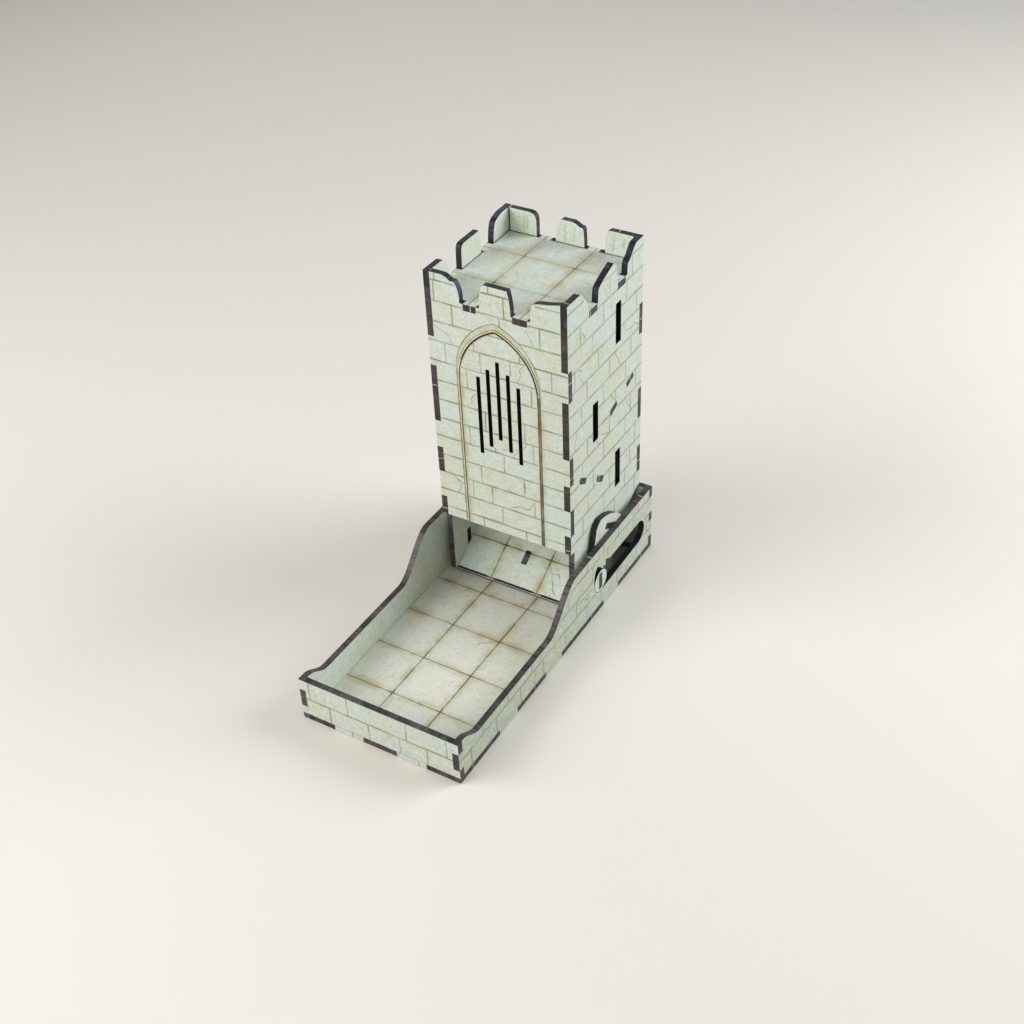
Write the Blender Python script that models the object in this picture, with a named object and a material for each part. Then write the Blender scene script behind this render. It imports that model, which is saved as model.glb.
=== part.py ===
"""Folding castle dice tower of interlocking laser-cut plates, in metres, +Z up.

A low walled tray carries a battlemented tower. Dice fall through a doorway high in the rear
wall, over two baffles and down an exit ramp into the tray. The tower turns on two keyed discs
that ride in long slots of the tray's side walls, so that it swings down and back into the tray.
The origin is the centre of the tray's footprint, on the table, and the tray's front faces -Y.
"""

import math

import bmesh
import bpy
from mathutils import Matrix, Vector

# Sheet and clearances
board = 0.003
seam = 0.0002
run_gap = 0.0003
weld_distance = 0.000005
cut_overrun = 0.002

# Tray
tray_width = 0.083
tray_length = 0.181
lip_height = 0.0233
low_height = 0.0177
guard_height = 0.0373
lip_flat = 0.004
lip_run = 0.013
rise_run = 0.026
rise_before_tower = 0.0069
well_margin = 0.0016
well_start = 0.0059
well_rear_strip = 0.004

# Tower shell
tower_depth = 0.0694
tower_rear_inset = 0.0012
tower_top = 0.173
merlon_height = 0.0117
doorway_top = 0.0423
foot_height = 0.0055
foot_corner_radius = 0.0015
heel_setback = 0.0206
heel_fillet = 0.003
belly_drop = 0.00696

# Openings of the tower walls
slit_width = 0.002
slit_length = 0.041
slit_pitch = 0.0051
slit_mid_height = 0.1059
slit_step = 0.0051
loophole_width = 0.005
loophole_height = 0.0205
entry_width = 0.040
entry_sill = 0.116
entry_spring = 0.127
entry_apex = 0.151

# Baffles and exit ramp
upper_slope = math.radians(21)
upper_rear_height = 0.1085
upper_reach = 0.0338
lower_slope = math.radians(30)
lower_front_height = 0.0824
lower_reach = 0.0340
baffle_tab_length = 0.0071
ramp_slope = math.radians(31.6)
ramp_front_height = 0.006
ramp_front_setback = 0.0038
ramp_tab_length = 0.0075
ramp_toe_height = 0.0048
rib_front_setback = 0.0106
rib_rear_setback = 0.0275
tenon_setback = 0.0169
tenon_length = 0.0047
mortise_play = 0.0014

# Pivot discs, keys and the slots that guide them
pivot_setback = 0.0165
pivot_height = 0.0173
travel_back = 0.0385
travel_up = 0.0009
disc_radius = 0.006
slot_gap = 0.00025
slot_top = 0.0246
slot_tail = 0.001
pocket_height = 0.028
pocket_front = 0.00645
pocket_spring = 0.021
pocket_round = 0.00395
tooth_tip_height = 0.0238
tooth_tip_setback = 0.0037
tooth_width = 0.0013
relief_height = 0.0268
relief_flat = 0.0006
relief_width = 0.0046
pivot_key_width = 0.003
pivot_key_height = 0.009
key_slack = 0.0003

# Hinge plates beside the tower
boss_radius = 0.009
fan_radius = 0.0325
fan_centre_back = 0.0026
fan_centre_drop = 0.0014
fan_front_lean = math.radians(14.8)
fan_front_setback = 0.0005
fan_front_height = 0.0205
fan_lower_height = 0.0045
fan_corner_radius = 0.003
plate_key_length = 0.012
plate_key_setback = 0.0168
plate_key_rise = 0.0206
plate_key_tilt = math.radians(-30)

# Places along an edge, as shares of that edge
floor_front_shares = ((0.0, 0.206), (0.393, 0.604), (0.792, 1.0))
floor_rear_shares = ((0.15, 0.27), (0.44, 0.56), (0.73, 0.85))
floor_side_shares = ((0.0, 0.182), (0.269, 0.412), (0.497, 0.728), (0.814, 1.0))
tray_front_finger_shares = ((0.326, 0.7425),)
tray_rear_finger_shares = ((0.0, 0.196), (0.458, 0.5925), (0.858, 1.0))
tower_front_finger_shares = ((0.080, 0.192), (0.298, 0.411), (0.638, 0.755))
tower_rear_finger_shares = ((0.066, 0.1765), (0.299, 0.421), (0.640, 0.756))
baffle_tab_shares = (0.26, 0.74)
ramp_tab_shares = (0.40, 0.66)
roof_front_tab_shares = ((0.276, 0.366), (0.624, 0.724))
roof_rear_tab_shares = ((0.268, 0.350), (0.620, 0.703))
roof_left_tab_shares = ((0.262, 0.362), (0.640, 0.745))
roof_right_tab_shares = ((0.272, 0.376), (0.650, 0.752))

# Each merlon's two flanks, in order across its wall: (place, height) from foot to top and from top
# to foot, as shares of the wall's width and of the merlons' height. They are softened afterwards.
square_front_shares = ((0.0, 1.0),)
square_rear_shares = ((1.0, 1.0),)
front_merlon_shares = (
    (square_front_shares,
     ((0.130, 1.0), (0.165, 0.95), (0.190, 0.80), (0.222, 0.84), (0.243, 0.55), (0.252, 0.30),
      (0.252, 0.0))),
    (((0.392, 0.0), (0.396, 0.45), (0.408, 0.80), (0.420, 1.0), (0.440, 1.0)),
     ((0.585, 1.0), (0.594, 1.0), (0.596, 0.92), (0.604, 0.70), (0.612, 0.36), (0.613, 0.0))),
    (((0.748, 0.0), (0.751, 0.45), (0.757, 0.66), (0.780, 0.80), (0.876, 0.88), (0.955, 1.0)),
     square_rear_shares))
right_merlon_shares = (
    (square_front_shares,
     ((0.160, 1.0), (0.185, 0.90), (0.225, 0.62), (0.256, 0.36), (0.265, 0.18), (0.266, 0.0))),
    (((0.386, 0.0), (0.389, 0.40), (0.396, 0.56), (0.432, 0.66), (0.485, 0.80), (0.590, 1.0)),
     ((0.592, 1.0), (0.620, 0.90), (0.638, 0.62), (0.643, 0.30), (0.644, 0.0))),
    (((0.777, 0.0), (0.779, 0.42), (0.800, 0.52), (0.826, 0.60), (0.860, 0.84), (0.890, 1.0),
      (0.930, 1.0)),
     square_rear_shares))
left_merlon_shares = (
    (square_front_shares,
     ((0.150, 1.0), (0.180, 0.94), (0.206, 0.72), (0.217, 0.45), (0.218, 0.0))),
    (((0.370, 0.0), (0.373, 0.55), (0.376, 0.90), (0.402, 1.0), (0.440, 1.0)),
     ((0.570, 1.0), (0.598, 1.0), (0.604, 0.85), (0.605, 0.45), (0.600, 0.0))),
    (((0.757, 0.0), (0.764, 0.45), (0.780, 0.78), (0.810, 0.90), (0.870, 1.0), (0.900, 1.0)),
     square_rear_shares))
rear_merlon_shares = (
    (square_front_shares,
     ((0.190, 1.0), (0.228, 0.98), (0.249, 0.80), (0.251, 0.50), (0.250, 0.0))),
    (((0.393, 0.0), (0.395, 0.36), (0.408, 0.60), (0.417, 0.84), (0.432, 1.0), (0.460, 1.0)),
     ((0.520, 1.0), (0.550, 0.93), (0.567, 0.84), (0.594, 0.84), (0.599, 0.55), (0.601, 0.0))),
    (((0.751, 0.0), (0.752, 0.60), (0.757, 0.90), (0.780, 1.0), (0.810, 1.0)),
     square_rear_shares))

# Arrow loops of the side walls, as (share of the depth, share of the height) of their middles
loophole_shares = ((0.658, 0.820), (0.347, 0.590), (0.659, 0.364))

half_tray = tray_width / 2
inner_tray = half_tray - board
half_tower = inner_tray - run_gap - board - seam
inner_tower = half_tower - board
tower_rear = tray_length - tower_rear_inset
tower_front = tower_rear - tower_depth
roof_height = tower_top - merlon_height
pivot_back = tower_front + pivot_setback
rear_wall_foot = guard_height + run_gap
arc_steps = 7
fill_turn = Matrix.Rotation(math.radians(17), 4, "Z")

board_colour = (0.66, 0.63, 0.50, 1.0)
board_roughness = 0.7


def clear_scene():
    for item in list(bpy.data.objects):
        bpy.data.objects.remove(item, do_unlink=True)


def new_collection(name):
    group = bpy.data.collections.new(name)
    bpy.context.scene.collection.children.link(group)
    return group


def board_material(name):
    made = bpy.data.materials.new(name)
    made.use_nodes = True
    shader = made.node_tree.nodes["Principled BSDF"]
    shader.inputs["Base Color"].default_value = board_colour
    shader.inputs["Roughness"].default_value = board_roughness
    shader.inputs["Metallic"].default_value = 0.0
    made.diffuse_color = board_colour
    return made


# Outlines

def arc(centre, radius_a, radius_b, start, end, steps=arc_steps):
    """Points of an ellipse's arc about a centre, from one angle to another, in radians."""
    points = []
    for index in range(steps + 1):
        angle = start + (end - start) * index / steps
        points.append((centre[0] + radius_a * math.cos(angle), centre[1] + radius_b * math.sin(angle)))
    return points


def circle(centre, radius, steps=32):
    return arc(centre, radius, radius, 0, math.tau, steps)[:-1]


def rectangle(centre, length, height, tilt=0.0):
    """The corners of a rectangle that is tilted about its centre."""
    corners = []
    for side_a, side_b in ((-1, -1), (1, -1), (1, 1), (-1, 1)):
        along = side_a * length / 2
        across = side_b * height / 2
        corners.append((centre[0] + along * math.cos(tilt) - across * math.sin(tilt),
                        centre[1] + along * math.sin(tilt) + across * math.cos(tilt)))
    return corners


def rounded(corners, steps=arc_steps):
    """A closed outline of (a, b, radius) corners, each rounded by an arc of its radius."""
    points = []
    for index, (a, b, radius) in enumerate(corners):
        here = Vector((a, b))
        before = (Vector(corners[index - 1][:2]) - here).normalized()
        after = (Vector(corners[(index + 1) % len(corners)][:2]) - here).normalized()
        if radius == 0:
            points.append((a, b))
            continue
        half_angle = before.angle(after) / 2
        middle = here + (before + after).normalized() * radius / math.sin(half_angle)
        first = here + before * radius / math.tan(half_angle) - middle
        last = here + after * radius / math.tan(half_angle) - middle
        sweep = first.angle_signed(last)
        for step in range(steps + 1):
            turned = Matrix.Rotation(-sweep * step / steps, 2) @ first
            points.append(tuple(middle + turned))
    return points


def stepped(low, high, spans, base, inside, slack):
    """(along, across) points of an edge that steps from base to inside within each span.

    Each span is drawn in by the slack at its ends, except where it reaches the edge's end.
    """
    points = []
    level = base
    for start, end in spans:
        if start <= low:
            points.append((low, inside))
        else:
            if not points:
                points.append((low, base))
            points += [(start + slack, base), (start + slack, inside)]
        level = inside
        if end < high:
            points += [(end - slack, inside), (end - slack, base)]
            level = base
    points.append((high, level))
    return points


def spread(shares, low, high):
    """Spans of an edge from low to high, from their shares of it."""
    return [(low + start * (high - low), low + end * (high - low)) for start, end in shares]


def swapped(points):
    return [(b, a) for a, b in points]


def s_curve(start, end, steps=12):
    """A smooth step between two points that leaves and arrives level."""
    points = []
    for index in range(steps + 1):
        share = index / steps
        eased = share * share * (3 - 2 * share)
        points.append((start[0] + (end[0] - start[0]) * share, start[1] + (end[1] - start[1]) * eased))
    return points


def softened(points, passes=2):
    """A line with its corners cut twice over, its two ends kept."""
    points = list(points)
    for _ in range(passes):
        cut_points = [points[0]]
        for (a, b), (next_a, next_b) in zip(points, points[1:]):
            cut_points.append((a * 0.75 + next_a * 0.25, b * 0.75 + next_b * 0.25))
            cut_points.append((a * 0.25 + next_a * 0.75, b * 0.25 + next_b * 0.75))
        points = cut_points + [points[-1]]
    return points


def battlement(merlons, low, high, trims, tabs):
    """The top edge of a tower wall from low to high, with notches for the roof's tabs.

    trims are the widths that the neighbouring walls take from its first and last merlon.
    """
    def flank(shares):
        points = []
        for place, height in softened(shares):
            along = low + place * (high - low)
            along = min(max(along, low + trims[0]), high - trims[1])
            points.append((along, roof_height + height * merlon_height))
        return points

    points = []
    for number, (rising, falling) in enumerate(merlons):
        points += flank(rising) + flank(falling)
        if number < len(merlons) - 1:
            gap_end = flank(merlons[number + 1][0])[0][0]
            points += stepped(points[-1][0], gap_end, [tabs[number]], roof_height,
                              roof_height - board - seam, -seam / 2)[1:-1]
    return points


# Plates

def solid_plate(name, loops, location, axes, thickness=board):
    """A flat plate from a filled 2D curve: its outline first, then its holes.

    axes are the world directions of the outline's two coordinates. The curve is filled while it is
    turned in its plane, because points in level rows can leave a fill open, and turned back after.
    """
    data = bpy.data.curves.new(name, "CURVE")
    data.dimensions = "2D"
    data.fill_mode = "BOTH"
    data.extrude = thickness / 2
    for loop in loops:
        spline = data.splines.new("POLY")
        spline.points.add(len(loop) - 1)
        for point, (a, b) in zip(spline.points, loop):
            point.co = (*(fill_turn @ Vector((a, b, 0))), 1)
        spline.use_cyclic_u = True
    outline = bpy.data.objects.new(name + "_outline", data)
    bpy.context.scene.collection.objects.link(outline)
    side = Vector(axes[0])
    rise = Vector(axes[1])
    turn = Matrix((side, rise, side.cross(rise))).transposed()
    outline.matrix_world = Matrix.Translation(location) @ turn.to_4x4()
    bpy.context.view_layer.update()
    evaluated = outline.evaluated_get(bpy.context.evaluated_depsgraph_get())
    mesh = bpy.data.meshes.new_from_object(evaluated)
    mesh.name = name
    mesh.transform(fill_turn.inverted())
    editable = bmesh.new()
    editable.from_mesh(mesh)
    bmesh.ops.remove_doubles(editable, verts=editable.verts, dist=weld_distance)
    bmesh.ops.recalc_face_normals(editable, faces=editable.faces)
    editable.to_mesh(mesh)
    editable.free()
    plate = bpy.data.objects.new(name, mesh)
    plate.matrix_world = outline.matrix_world.copy()
    bpy.data.objects.remove(outline, do_unlink=True)
    return plate


def in_place(plate, group, mover):
    """Puts a plate in its collection and hangs it from the empty that it moves with."""
    plate.data.materials.clear()
    plate.data.materials.append(board_material(plate.name + "_board"))
    group.objects.link(plate)
    plate.location = plate.location - mover.location
    plate.parent = mover
    return plate


def carrier(name, location, group):
    empty = bpy.data.objects.new(name, None)
    empty.location = location
    empty.empty_display_size = board
    group.objects.link(empty)
    return empty


def from_front(distance):
    """World Y of a place measured back from the tray's front face."""
    return distance - tray_length / 2


axes_side = ((0, 1, 0), (0, 0, 1))
axes_front = ((1, 0, 0), (0, 0, 1))
axes_flat = ((1, 0, 0), (0, 1, 0))


def sloping(angle):
    return ((1, 0, 0), (0, math.cos(angle), math.sin(angle)))


def side_plate(name, loops, side, middle_x):
    """A plate that stands along Y and Z, its outline measured from the tray's front face."""
    return solid_plate(name, loops, (side * middle_x, from_front(0), 0), axes_side)


# Tray

def floor_spans():
    front = spread(floor_front_shares, -half_tray, half_tray)
    rear = spread(floor_rear_shares, -half_tray, half_tray)
    side = spread(floor_side_shares, 0, tray_length - board)
    return front, rear, side


def tray_floor(group, root):
    front, rear, side = floor_spans()
    inner_rear = tray_length - board
    slack = seam / 2
    across = inner_tray - seam
    front_edge = stepped(-half_tray, half_tray, front, board + seam, 0, slack)
    right_edge = stepped(0, inner_rear - slack, side, across, half_tray, slack)
    rear_edge = stepped(-across, across, rear, inner_rear - seam, tray_length, slack)
    right_edge = [(place, reach) for place, reach in right_edge if place > 0]
    right_edge[-1] = (inner_rear - seam, right_edge[-1][1])
    outline = front_edge
    outline += swapped(right_edge)
    outline += list(reversed(rear_edge))
    outline += [(-reach, place) for place, reach in reversed(right_edge)]
    well_half = half_tower + well_margin
    well = [(-well_half, tower_front + well_start), (well_half, tower_front + well_start),
            (well_half, inner_rear - well_rear_strip), (-well_half, inner_rear - well_rear_strip)]
    plate = solid_plate("tray_floor", [outline, well], (0, from_front(0), board / 2), axes_flat)
    in_place(plate, group, root)


def tray_front_wall(group, root):
    front = floor_spans()[0]
    fingers = spread(tray_front_finger_shares, 0, lip_height)
    bottom = stepped(-half_tray, half_tray, front, 0, board + seam, -seam / 2)
    right = stepped(board + seam, lip_height, fingers, half_tray, inner_tray - seam, -seam / 2)
    outline = bottom + swapped(right)[1:] + [(-x, z) for x, z in reversed(swapped(right)[1:])]
    plate = solid_plate("tray_front_wall", [outline], (0, from_front(board / 2), 0), axes_front)
    in_place(plate, group, root)


def tray_rear_wall(group, root):
    rear = floor_spans()[1]
    fingers = spread(tray_rear_finger_shares, 0, guard_height)
    bottom = stepped(-half_tray, half_tray, rear, 0, board + seam, -seam / 2)
    right = stepped(0, guard_height, fingers, inner_tray - seam, half_tray, seam / 2)
    outline = bottom + swapped(right)[1:] + [(-x, z) for x, z in reversed(swapped(right)[1:])]
    plate = solid_plate("tray_rear_wall", [outline], (0, from_front(tray_length - board / 2), 0),
                        axes_front)
    in_place(plate, group, root)


def guide_slot():
    """The hole that a pivot disc slides in: pocket, tooth and long rising run."""
    floor_front = pivot_height - disc_radius - slot_gap
    tail_back = pivot_back + travel_back + slot_tail
    floor_rear = floor_front + travel_up * (travel_back + slot_tail) / travel_back
    tail_radius = (slot_top - floor_rear) / 2
    tail = arc((tail_back, floor_rear + tail_radius), tail_radius, tail_radius,
               -math.pi / 2, math.pi / 2, 12)
    tooth_rear = pivot_back + tooth_tip_setback + tooth_width
    notch = arc((pivot_back - pocket_front + pocket_round, pocket_spring), pocket_round,
                pocket_height - pocket_spring, math.pi / 2, math.pi)
    cradle_radius = disc_radius + slot_gap
    cradle = arc((pivot_back, pivot_height), cradle_radius, cradle_radius, math.pi, 1.5 * math.pi, 12)
    tooth = [(tooth_rear + relief_width, slot_top), (tooth_rear + relief_flat, relief_height),
             (tooth_rear, relief_height), (tooth_rear, tooth_tip_height),
             (pivot_back + tooth_tip_setback, tooth_tip_height)]
    return tail + tooth + notch + cradle


def tray_side_wall(name, side, group, root):
    floor_tabs = floor_spans()[2]
    inner_rear = tray_length - board
    front_fingers = spread(tray_front_finger_shares, 0, lip_height)
    rear_fingers = spread(tray_rear_finger_shares, 0, guard_height)
    bottom = stepped(0, inner_rear, floor_tabs, 0, board + seam, -seam / 2)
    bottom = [(max(place, board + seam), height) for place, height in bottom]
    bottom[-1] = (inner_rear - seam, board + seam)
    rear = stepped(0, guard_height, rear_fingers, tray_length, inner_rear - seam, -seam / 2)
    rear = [(height, place) for height, place in rear if height > board + seam]
    front = stepped(board + seam, lip_height, front_fingers, board + seam, 0, seam / 2)
    rise_end = tower_front - rise_before_tower
    top = s_curve((rise_end, guard_height), (rise_end - rise_run, low_height), 16)
    top += s_curve((lip_flat + lip_run, low_height), (lip_flat, lip_height))
    outline = bottom + swapped(rear) + top + swapped(list(reversed(front)))[:-1]
    plate = side_plate(name, [outline, guide_slot()], side, inner_tray + board / 2)
    in_place(plate, group, root)


# Tower

def tower_finger_spans():
    front = spread(tower_front_finger_shares, doorway_top, tower_top)
    rear = spread(tower_rear_finger_shares, rear_wall_foot, tower_top)
    return front, rear


def upright_wall(name, merlons, roof_shares, foot, fingers, holes, place, group, root):
    """A front or rear wall of the tower, between the side walls and with fingers through them."""
    roof_tabs = spread(roof_shares, -half_tower, half_tower)
    inner = inner_tower - seam
    right = swapped(stepped(foot, tower_top, fingers, inner, half_tower, seam / 2))
    left = [(-x, z) for x, z in reversed(right)]
    trim = half_tower - inner
    top = battlement(merlons, -half_tower, half_tower, (trim, trim), roof_tabs)
    outline = right[:-1] + list(reversed(top)) + left[1:]
    plate = solid_plate(name, [outline] + holes, (0, from_front(place), 0), axes_front)
    in_place(plate, group, root)


def front_slits():
    """Five slits of a portcullis, stepped up to the middle one."""
    slits = []
    for number in (-2, -1, 0, 1, 2):
        middle = slit_mid_height + slit_step * (2 - abs(number))
        slits.append(rectangle((number * slit_pitch, middle), slit_width, slit_length))
    return slits


def rear_entry():
    """A pointed doorway: two arcs, each struck from beyond the other side."""
    half = entry_width / 2
    rise = entry_apex - entry_spring
    radius = (half * half + rise * rise) / (2 * half)
    reach = math.asin(rise / radius)
    right = arc((half - radius, entry_spring), radius, radius, 0, reach)
    left = [(-x, z) for x, z in reversed(right[:-1])]
    return [(-half, entry_sill), (half, entry_sill)] + right + left


def baffle_places():
    """(middle of each tab hole, tilt, length) in the side walls, for both baffles and the ramp."""
    places = []
    inner_front = tower_front + board
    inner_rear = tower_rear - board
    for share in baffle_tab_shares:
        run = upper_reach * share
        places.append(((inner_rear - run, upper_rear_height - run * math.tan(upper_slope)),
                       upper_slope, baffle_tab_length))
        run = lower_reach * share
        places.append(((inner_front + run, lower_front_height - run * math.tan(lower_slope)),
                       -lower_slope, baffle_tab_length))
    for share in ramp_tab_shares:
        back = ramp_front() + share * (inner_rear - ramp_front())
        drop = board / 2 / math.cos(ramp_slope)
        places.append(((back, ramp_line(back) - drop), ramp_slope, ramp_tab_length))
    return places


def ramp_front():
    return tower_front + ramp_front_setback


def ramp_line(back):
    """Height of the ramp's top face at a distance back from the tray's front."""
    return ramp_front_height + (back - ramp_front()) * math.tan(ramp_slope)


def plate_key_place():
    return (pivot_back + plate_key_setback, pivot_height + plate_key_rise)


def tower_side_wall(name, side, merlons, roof_shares, group, root):
    front, rear = tower_finger_spans()
    roof_tabs = spread(roof_shares, tower_front, tower_rear)
    inner_front = tower_front + board
    inner_rear = tower_rear - board
    front_edge = swapped(stepped(doorway_top, tower_top, front, tower_front, inner_front + seam,
                                 -seam / 2))
    top = battlement(merlons, tower_front, tower_rear, (0, 0), roof_tabs)
    rear_edge = swapped(stepped(rear_wall_foot, tower_top, rear, tower_rear, inner_rear - seam,
                                -seam / 2))
    heel = tower_front + heel_setback
    knee = heel + heel_fillet / 2
    foot = rounded([(inner_rear, rear_wall_foot, 0),
                    (knee, ramp_line(knee) - belly_drop, heel_fillet),
                    (heel, foot_height, foot_corner_radius),
                    (inner_front, foot_height, foot_corner_radius),
                    (inner_front, doorway_top, 0)])
    outline = front_edge + top[1:-1] + list(reversed(rear_edge)) + foot
    holes = [rectangle(place, length + seam, board + seam, tilt)
             for place, tilt, length in baffle_places()]
    for depth_share, height_share in loophole_shares:
        middle = (tower_front + depth_share * tower_depth, height_share * tower_top)
        holes.append(rectangle(middle, loophole_width, loophole_height))
    holes.append(rectangle(plate_key_place(), plate_key_length + seam, board + seam, plate_key_tilt))
    holes.append(rectangle((pivot_back, pivot_height), pivot_key_width + key_slack,
                           pivot_key_height + key_slack))
    plate = side_plate(name, [outline] + holes, side, inner_tower + board / 2)
    in_place(plate, group, root)


def roof_plate(group, root):
    left_tabs = spread(roof_left_tab_shares, tower_front, tower_rear)
    right_tabs = spread(roof_right_tab_shares, tower_front, tower_rear)
    front_tabs = spread(roof_front_tab_shares, -half_tower, half_tower)
    rear_tabs = spread(roof_rear_tab_shares, -half_tower, half_tower)
    across = inner_tower - seam
    front = tower_front + board + seam
    rear = tower_rear - board - seam
    front_edge = stepped(-across, across, front_tabs, front, tower_front, 0)
    left_edge = stepped(front, rear, left_tabs, -across, -half_tower, 0)
    right_edge = stepped(front, rear, right_tabs, across, half_tower, 0)
    rear_edge = stepped(-across, across, rear_tabs, rear, tower_rear, 0)
    outline = front_edge + swapped(right_edge)[1:-1] + list(reversed(rear_edge))
    outline += list(reversed(swapped(left_edge)[1:-1]))
    plate = solid_plate("roof_plate", [outline], (0, from_front(0), roof_height - board / 2), axes_flat)
    in_place(plate, group, root)


def sloping_plate(name, low_end, high_end, tabs, tab_length, angle, origin, holes, group, root):
    """A tilted plate with tabs in the side walls; ends and tabs are measured along the slope."""
    across = inner_tower - seam
    spans = [(tab - tab_length / 2, tab + tab_length / 2) for tab in sorted(tabs)]
    right = swapped(stepped(low_end, high_end, spans, across, half_tower, 0))
    outline = right + [(-x, y) for x, y in reversed(right)]
    plate = solid_plate(name, [outline] + holes, (0, from_front(origin[0]), origin[1]), sloping(angle))
    return in_place(plate, group, root)


def upper_baffle(group, root):
    """Falls from the rear wall toward the front."""
    end = seam / math.cos(upper_slope) + board / 2 * math.tan(upper_slope)
    tabs = [-share * upper_reach / math.cos(upper_slope) for share in baffle_tab_shares]
    sloping_plate("upper_baffle", -upper_reach / math.cos(upper_slope), -end, tabs, baffle_tab_length,
                  upper_slope, (tower_rear - board, upper_rear_height), [], group, root)


def lower_baffle(group, root):
    """Falls from the front wall toward the rear."""
    end = seam / math.cos(lower_slope) + board / 2 * math.tan(lower_slope)
    tabs = [share * lower_reach / math.cos(lower_slope) for share in baffle_tab_shares]
    sloping_plate("lower_baffle", end, lower_reach / math.cos(lower_slope), tabs, baffle_tab_length,
                  -lower_slope, (tower_front + board, lower_front_height), [], group, root)


def box_cutter(name, size, location, cutters):
    bpy.ops.mesh.primitive_cube_add(size=1, location=location)
    cutter = bpy.context.object
    cutter.name = name
    cutter.scale = size
    for owner in list(cutter.users_collection):
        owner.objects.unlink(cutter)
    cutters.objects.link(cutter)
    cutter.hide_render = True
    cutter.display_type = "WIRE"
    return cutter


def cut(plate, cutter):
    hole = plate.modifiers.new(cutter.name, "BOOLEAN")
    hole.operation = "DIFFERENCE"
    hole.solver = "EXACT"
    hole.object = cutter


def exit_ramp(group, root, cutters):
    """Falls from the rear wall to the doorway; a rib's tenon fills the front of its mortise."""
    cosine = math.cos(ramp_slope)
    sine = math.sin(ramp_slope)
    origin = (ramp_front() + board / 2 * sine, ramp_front_height - board / 2 * cosine)
    run = (tower_rear - board - ramp_front()) / cosine
    shift = board / 2 * math.tan(ramp_slope)
    end = run - seam / cosine - 2 * shift
    tabs = [share * run - shift for share in ramp_tab_shares]
    plate = sloping_plate("exit_ramp", 0, end, tabs, ramp_tab_length, ramp_slope, origin, [],
                          group, root)
    middle = tower_front + tenon_setback + mortise_play / 2
    mortise_size = (board + seam, tenon_length + mortise_play + seam,
                    2 * board / cosine + 2 * cut_overrun)
    mortise_place = (0, from_front(middle), ramp_line(middle) - board / 2 / cosine)
    cut(plate, box_cutter("mortise", mortise_size, mortise_place, cutters))
    toe_size = (2 * half_tower, 4 * board, board)
    toe_place = (0, from_front(ramp_front() + board), ramp_toe_height - board / 2)
    cut(plate, box_cutter("ramp_toe", toe_size, toe_place, cutters))


def ramp_rib(group, root):
    """A rib on edge under the ramp, its tenon flush with the ramp's top face."""
    front = tower_front + rib_front_setback
    rear = tower_front + rib_rear_setback
    under = (board + seam) / math.cos(ramp_slope)
    tenon_front = tower_front + tenon_setback - tenon_length / 2
    tenon_rear = tenon_front + tenon_length
    outline = [(front, foot_height), (rear, foot_height), (rear, ramp_line(rear) - under),
               (tenon_rear, ramp_line(tenon_rear) - under), (tenon_rear, ramp_line(tenon_rear)),
               (tenon_front, ramp_line(tenon_front)), (tenon_front, ramp_line(tenon_front) - under),
               (front, ramp_line(front) - under)]
    plate = solid_plate("ramp_rib", [outline], (0, from_front(0), 0), axes_side)
    in_place(plate, group, root)


# Hinge

def fan_outline():
    """A hinge plate's outline: a fan that springs from the boss round the pivot."""
    pivot = Vector((pivot_back, pivot_height))
    centre = pivot + Vector((fan_centre_back, -fan_centre_drop))
    lean = Vector((math.sin(fan_front_lean), math.cos(fan_front_lean)))
    front_foot = pivot + Vector((fan_front_setback, fan_front_height))
    offset = front_foot - centre
    reach = -offset.dot(lean) + math.sqrt(offset.dot(lean) ** 2 - offset.length_squared + fan_radius ** 2)
    front_top = front_foot + lean * reach
    lower = pivot_height + fan_lower_height
    rear_angle = math.asin((lower - centre.y) / fan_radius)
    front_angle = math.atan2(front_top.y - centre.y, front_top.x - centre.x)
    inset = fan_corner_radius / fan_radius
    rim = arc(centre, fan_radius, fan_radius, rear_angle + inset, front_angle - inset, 16)
    boss_rear = math.asin(fan_lower_height / boss_radius)
    normal = Vector((-lean.y, lean.x))
    boss_front = math.atan2(normal.y, normal.x) - math.acos((front_foot - pivot).dot(normal) / boss_radius)
    boss = arc(pivot, boss_radius, boss_radius, boss_front, boss_rear + math.tau, 20)
    rear_corner = (centre.x + fan_radius * math.cos(rear_angle) - fan_corner_radius, lower)
    front_corner = tuple(front_top - lean * fan_corner_radius)
    return boss + [rear_corner] + rim + [front_corner]


def hinge_plate(name, side, group, root):
    holes = [circle((pivot_back, pivot_height), math.hypot(pivot_key_width, pivot_key_height) / 2
                    + seam),
             rectangle(plate_key_place(), plate_key_length + seam, board + seam, plate_key_tilt)]
    middle = half_tower + seam + board / 2
    in_place(side_plate(name, [fan_outline()] + holes, side, middle), group, root)


def plate_key(name, side, group, root):
    """A flat key through the tower wall and the hinge plate."""
    length = 2 * board + seam
    outline = rectangle((0, 0), plate_key_length, board, plate_key_tilt)
    place = plate_key_place()
    location = (side * (inner_tower + length / 2), from_front(place[0]), place[1])
    in_place(solid_plate(name, [outline], location, axes_side, length), group, root)


def pivot_disc(name, side, group, root):
    """A disc in the tray wall's slot, keyed by a square-ended hole."""
    hole = rectangle((0, 0), pivot_key_width + seam, pivot_key_height + seam)
    location = (side * (half_tray - board / 2), from_front(pivot_back), pivot_height)
    in_place(solid_plate(name, [circle((0, 0), disc_radius), hole], location, axes_side), group, root)


def pivot_key(name, side, group, root):
    """A flat key from the hinge plate's bore to the disc's outer face."""
    start = half_tower + seam + run_gap / 3
    length = half_tray - start
    outline = rectangle((0, 0), pivot_key_width, pivot_key_height)
    location = (side * (start + length / 2), from_front(pivot_back), pivot_height)
    in_place(solid_plate(name, [outline], location, axes_side, length), group, root)


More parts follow.
